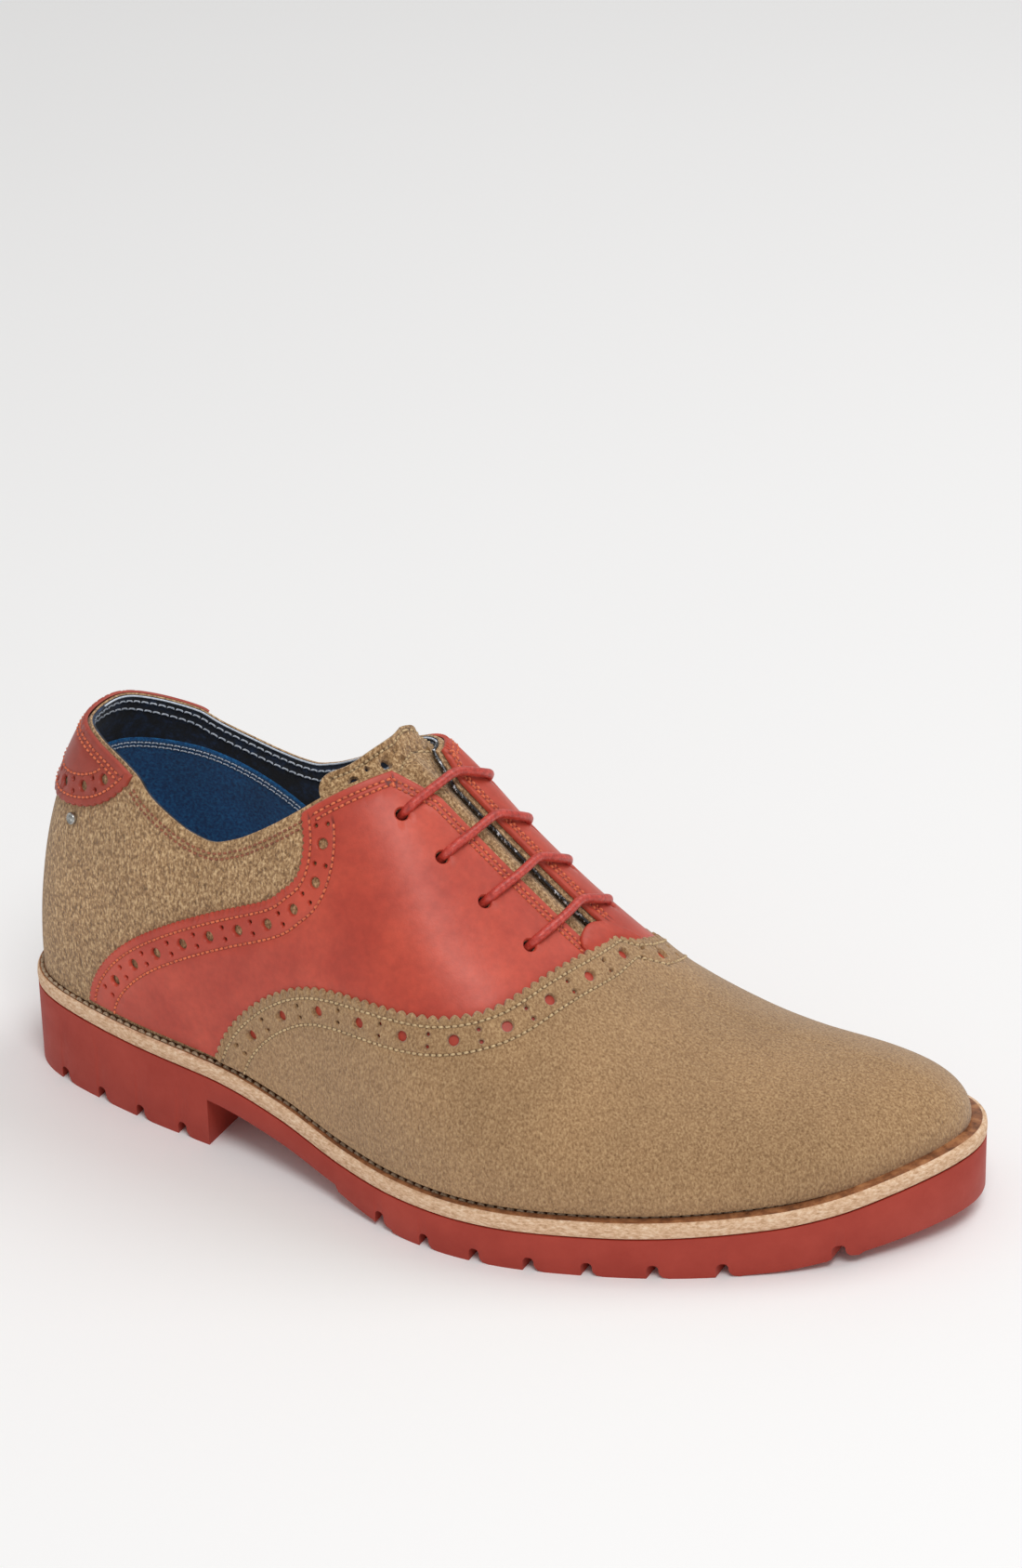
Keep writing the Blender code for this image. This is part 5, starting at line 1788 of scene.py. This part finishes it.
def leather_finish(name, colour, deep, rough=0.46):
    """Smooth leather: cloudy dye, fine grain, with painted shadow along its stitched rows."""
    material, tree, shader = start_finish(name, {
        "Specular IOR Level": 0.45, "Coat Weight": 0.08, "Coat Roughness": 0.35, "Sheen Weight": 0.05})
    clouds = noise(tree, 42, 4, 0.6)
    mottle = noise(tree, 420, 3, 0.6)
    tone = mixed(tree, ramp(tree, clouds, [(0.38, grey(0)), (0.66, grey(1))]), deep, colour)
    tone = clouded(tree, tone, mottle, 0.92, 1.05)
    # painted shadow of the stitch channels: the colour goes dark along the stitched rows
    tone = mixed(tree, seam_shade(tree), tone, tuple(c * 0.30 for c in deep))
    tree.links.new(tone, shader.inputs["Base Color"])
    shine = ramp(tree, clouds, [(0.3, grey(rough + 0.07)), (0.7, grey(rough - 0.05))])
    tree.links.new(shine, shader.inputs["Roughness"])
    pores = cells(tree, 1900, "DISTANCE_TO_EDGE")
    grain = noise(tree, 1500, 2, 0.5)
    normal = bumped(tree, pores, 0.00005, 0.35)
    normal = bumped(tree, grain, 0.00008, 0.4, normal)
    tree.links.new(bumped(tree, clouds, 0.0012, 0.25, normal), shader.inputs["Normal"])
    return material


def rubber_finish():
    material, tree, shader = start_finish("sole_rubber", {"Specular IOR Level": 0.4})
    clouds = noise(tree, 60, 4, 0.6)
    tone = ramp(tree, clouds, [(0.3, (0.35, 0.034, 0.019)), (0.7, (0.43, 0.048, 0.027))])
    tree.links.new(tone, shader.inputs["Base Color"])
    tree.links.new(ramp(tree, clouds, [(0.3, grey(0.66)), (0.7, grey(0.54))]), shader.inputs["Roughness"])
    fine = noise(tree, 1100, 3, 0.6)
    tree.links.new(bumped(tree, fine, 0.0001, 0.5), shader.inputs["Normal"])
    return material


def welt_side_finish():
    """Cut edge of natural leather: pale, with short fibres."""
    stops = [(0.32, (0.50, 0.29, 0.16)), (0.5, (0.74, 0.49, 0.31)), (0.7, (0.92, 0.72, 0.53))]
    return speckled_finish("welt_side", {"Roughness": 0.8, "Specular IOR Level": 0.25},
                           (900, 4, 0.7, (0.6, 0.6, 1.6)), stops, (0.0002, 0.6))


def welt_top_finish():
    stops = [(0.30, (0.10, 0.035, 0.014)), (0.5, (0.30, 0.115, 0.045)), (0.72, (0.52, 0.24, 0.10))]
    return speckled_finish("welt_top", {"Roughness": 0.5, "Specular IOR Level": 0.45},
                           (260, 4, 0.65), stops, (0.0003, 0.6))


def thread_finish(name, colour, shade, rough=0.6):
    """Twisted thread, speckled at random between its colour and a darker shade."""
    return speckled_finish(name, {"Roughness": rough, "Sheen Weight": 0.15}, (1300, 2, 0.6),
                           [(0.3, shade), (0.65, colour)], (0.0001, 0.6))


def lace_finish():
    stops = [(0.35, (0.36, 0.028, 0.018)), (0.6, (0.60, 0.060, 0.040)), (0.8, (0.78, 0.20, 0.14))]
    return speckled_finish("waxed_lace", {"Roughness": 0.42, "Coat Weight": 0.25, "Coat Roughness": 0.3},
                           (700, 4, 0.65), stops, (0.0001, 0.5))


def lining_finish():
    """Dark lining of blue and black flecks."""
    material, tree, shader = start_finish("mottled_lining", {"Roughness": 0.85, "Sheen Weight": 0.2})
    blots = noise(tree, 150, 5, 0.72)
    weave = noise(tree, 1100, 2, 0.6)
    tone = ramp(tree, blots, [(0.42, (0.003, 0.003, 0.005)), (0.53, (0.006, 0.014, 0.034)),
                              (0.68, (0.018, 0.050, 0.125))])
    tone = clouded(tree, tone, weave, 0.6, 1.5)
    # painted shadow of the stitch channels along the stitched rows
    tone = mixed(tree, seam_shade(tree), tone, (0.004, 0.006, 0.012))
    tree.links.new(tone, shader.inputs["Base Color"])
    tree.links.new(bumped(tree, weave, 0.0002, 0.7), shader.inputs["Normal"])
    return material


def blue_suede_finish():
    material, tree, shader = start_finish("blue_suede", {"Roughness": 0.9, "Sheen Weight": 0.35})
    fibres = noise(tree, 1100, 4, 0.65)
    clouds = noise(tree, 55, 3, 0.5)
    tone = ramp(tree, fibres, [(0.34, (0.003, 0.05, 0.16)), (0.5, (0.006, 0.105, 0.30)),
                               (0.68, (0.02, 0.20, 0.46))])
    tone = clouded(tree, tone, clouds, 0.85, 1.1)
    # painted shadow of the stitch channels along the stitched rows
    tone = mixed(tree, seam_shade(tree), tone, (0.004, 0.03, 0.08))
    tree.links.new(tone, shader.inputs["Base Color"])
    tree.links.new(bumped(tree, fibres, 0.0002, 0.6), shader.inputs["Normal"])
    return material


def tape_finish():
    """Glossy black edge with pale flecks painted in as its highlights."""
    return speckled_finish("black_tape_with_highlights", {"Roughness": 0.22, "Coat Weight": 0.5},
                           (900, 3, 0.7, (1.0, 1.0, 0.5)),
                           [(0.56, (0.006, 0.006, 0.008)), (0.62, (0.7, 0.72, 0.75))])


def metal_finish():
    return speckled_finish("pewter_metal", {"Metallic": 1.0}, (800, 4, 0.6),
                           [(0.3, (0.20, 0.20, 0.19)), (0.6, (0.55, 0.55, 0.52))], (0.0001, 0.4),
                           [(0.3, grey(0.42)), (0.7, grey(0.25))])


def floor_finish():
    return speckled_finish("paper_floor", {"Roughness": 0.7, "Specular IOR Level": 0.2}, (3, 2, 0.5),
                           [(0.3, grey(0.97)), (0.7, grey(0.98))])


# Stage

def build_camera():
    azimuth, elevation, roll = (math.radians(a) for a in (AZIMUTH, ELEVATION, ROLL))
    back = Vector((math.sin(azimuth) * math.cos(elevation), -math.cos(azimuth) * math.cos(elevation),
                   math.sin(elevation)))
    right = Vector((0, 0, 1)).cross(back).normalized()
    up = back.cross(right)
    across = right * math.cos(roll) + up * math.sin(roll)
    top = up * math.cos(roll) - right * math.sin(roll)
    data = bpy.data.cameras.new("camera")
    data.sensor_width = SENSOR
    data.lens = FOCAL * SENSOR / PHOTO_HEIGHT
    camera = bpy.data.objects.new("camera", data)
    matrix = Matrix((across, top, back)).transposed().to_4x4()
    matrix.translation = Vector(placed(np.array(TARGET))) + back * DISTANCE
    camera.matrix_world = matrix
    bpy.context.scene.collection.objects.link(camera)
    bpy.context.scene.camera = camera
    bpy.context.scene.view_settings.view_transform = "Standard"


def build_floor(half=4.0):
    mesh = bpy.data.meshes.new("floor")
    corners = [(-half, -half, 0), (half, -half, 0), (half, half, 0), (-half, half, 0)]
    mesh.from_pydata(corners, [], [(0, 1, 2, 3)])
    mesh.materials.append(floor_finish())
    thing = linked("floor", mesh)


def soft_light(name, place, aim_at, size, power):
    data = bpy.data.lights.new(name, "AREA")
    data.shape = "DISK"
    data.size = size
    data.energy = power
    thing = bpy.data.objects.new(name, data)
    thing.location = place
    thing.rotation_mode = "QUATERNION"
    thing.rotation_quaternion = (Vector(place) - Vector(aim_at)).to_track_quat("Z", "Y")
    bpy.context.scene.collection.objects.link(thing)


def build_lights():
    world = bpy.data.worlds.new("studio")
    bpy.context.scene.world = world
    world.use_nodes = True
    world.node_tree.nodes["Background"].inputs["Color"].default_value = (1.0, 0.99, 0.98, 1)
    world.node_tree.nodes["Background"].inputs["Strength"].default_value = 0.50
    soft_light("key", (0.7, -0.9, 1.9), (0, 0, 0), 0.9, 16.5)
    soft_light("top", (0.6, 0.9, 1.7), (0, 0, 0.05), 1.2, 9.5)


def main():
    build_camera()
    build_floor()
    build_lights()
    quarter_suede = suede_finish("quarter_suede", (0.17, 0.088, 0.034), (0.42, 0.24, 0.105),
                                 (0.78, 0.54, 0.29), 1250, 0.00075)
    vamp_suede = suede_finish("vamp_suede", (0.22, 0.116, 0.048), (0.395, 0.232, 0.109),
                              (0.58, 0.38, 0.195), 1500, 0.00045, 0.8)
    red = leather_finish("saddle_leather", (0.61, 0.080, 0.041), (0.47, 0.050, 0.026))
    # the saddle's red leather again, darker: painted shade on the heel patch
    shaded_red = leather_finish("shaded_patch_leather", (0.43, 0.060, 0.032), (0.32, 0.038, 0.021))
    orange = thread_finish("orange_thread", (0.88, 0.21, 0.08), (0.45, 0.065, 0.028))
    cream = thread_finish("cream_thread", (0.72, 0.53, 0.29), (0.36, 0.23, 0.11))
    rust = thread_finish("rust_thread", (0.40, 0.13, 0.06), (0.16, 0.05, 0.025))
    white = thread_finish("white_thread", (0.75, 0.80, 0.88), (0.45, 0.52, 0.62))
    linen = thread_finish("linen_thread", (0.55, 0.42, 0.28), (0.22, 0.13, 0.07))
    blue = blue_suede_finish()
    build_quarters(quarter_suede, lining_finish())
    build_vamp(vamp_suede, cream)
    build_saddle("saddle_outer", -1, red, orange)
    build_saddle("saddle_inner", 1, red, orange)
    build_heel_patch(shaded_red, orange)
    build_back_strip(red, orange)
    build_throat_tab(red)
    build_tongue(quarter_suede, cream)
    build_collar_threads(rust, white)
    build_collar_rim_tube(white)
    build_facing_tape_and_shade(tape_finish())
    build_heel_lining(blue, white)
    build_outsole(rubber_finish())
    build_welt(welt_side_finish(), welt_top_finish())
    build_welt_threads(linen)
    build_laces(lace_finish())
    build_rivet(metal_finish())
    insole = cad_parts["insole"]
    for slot in insole.material_slots:
        slot.material = blue


main()
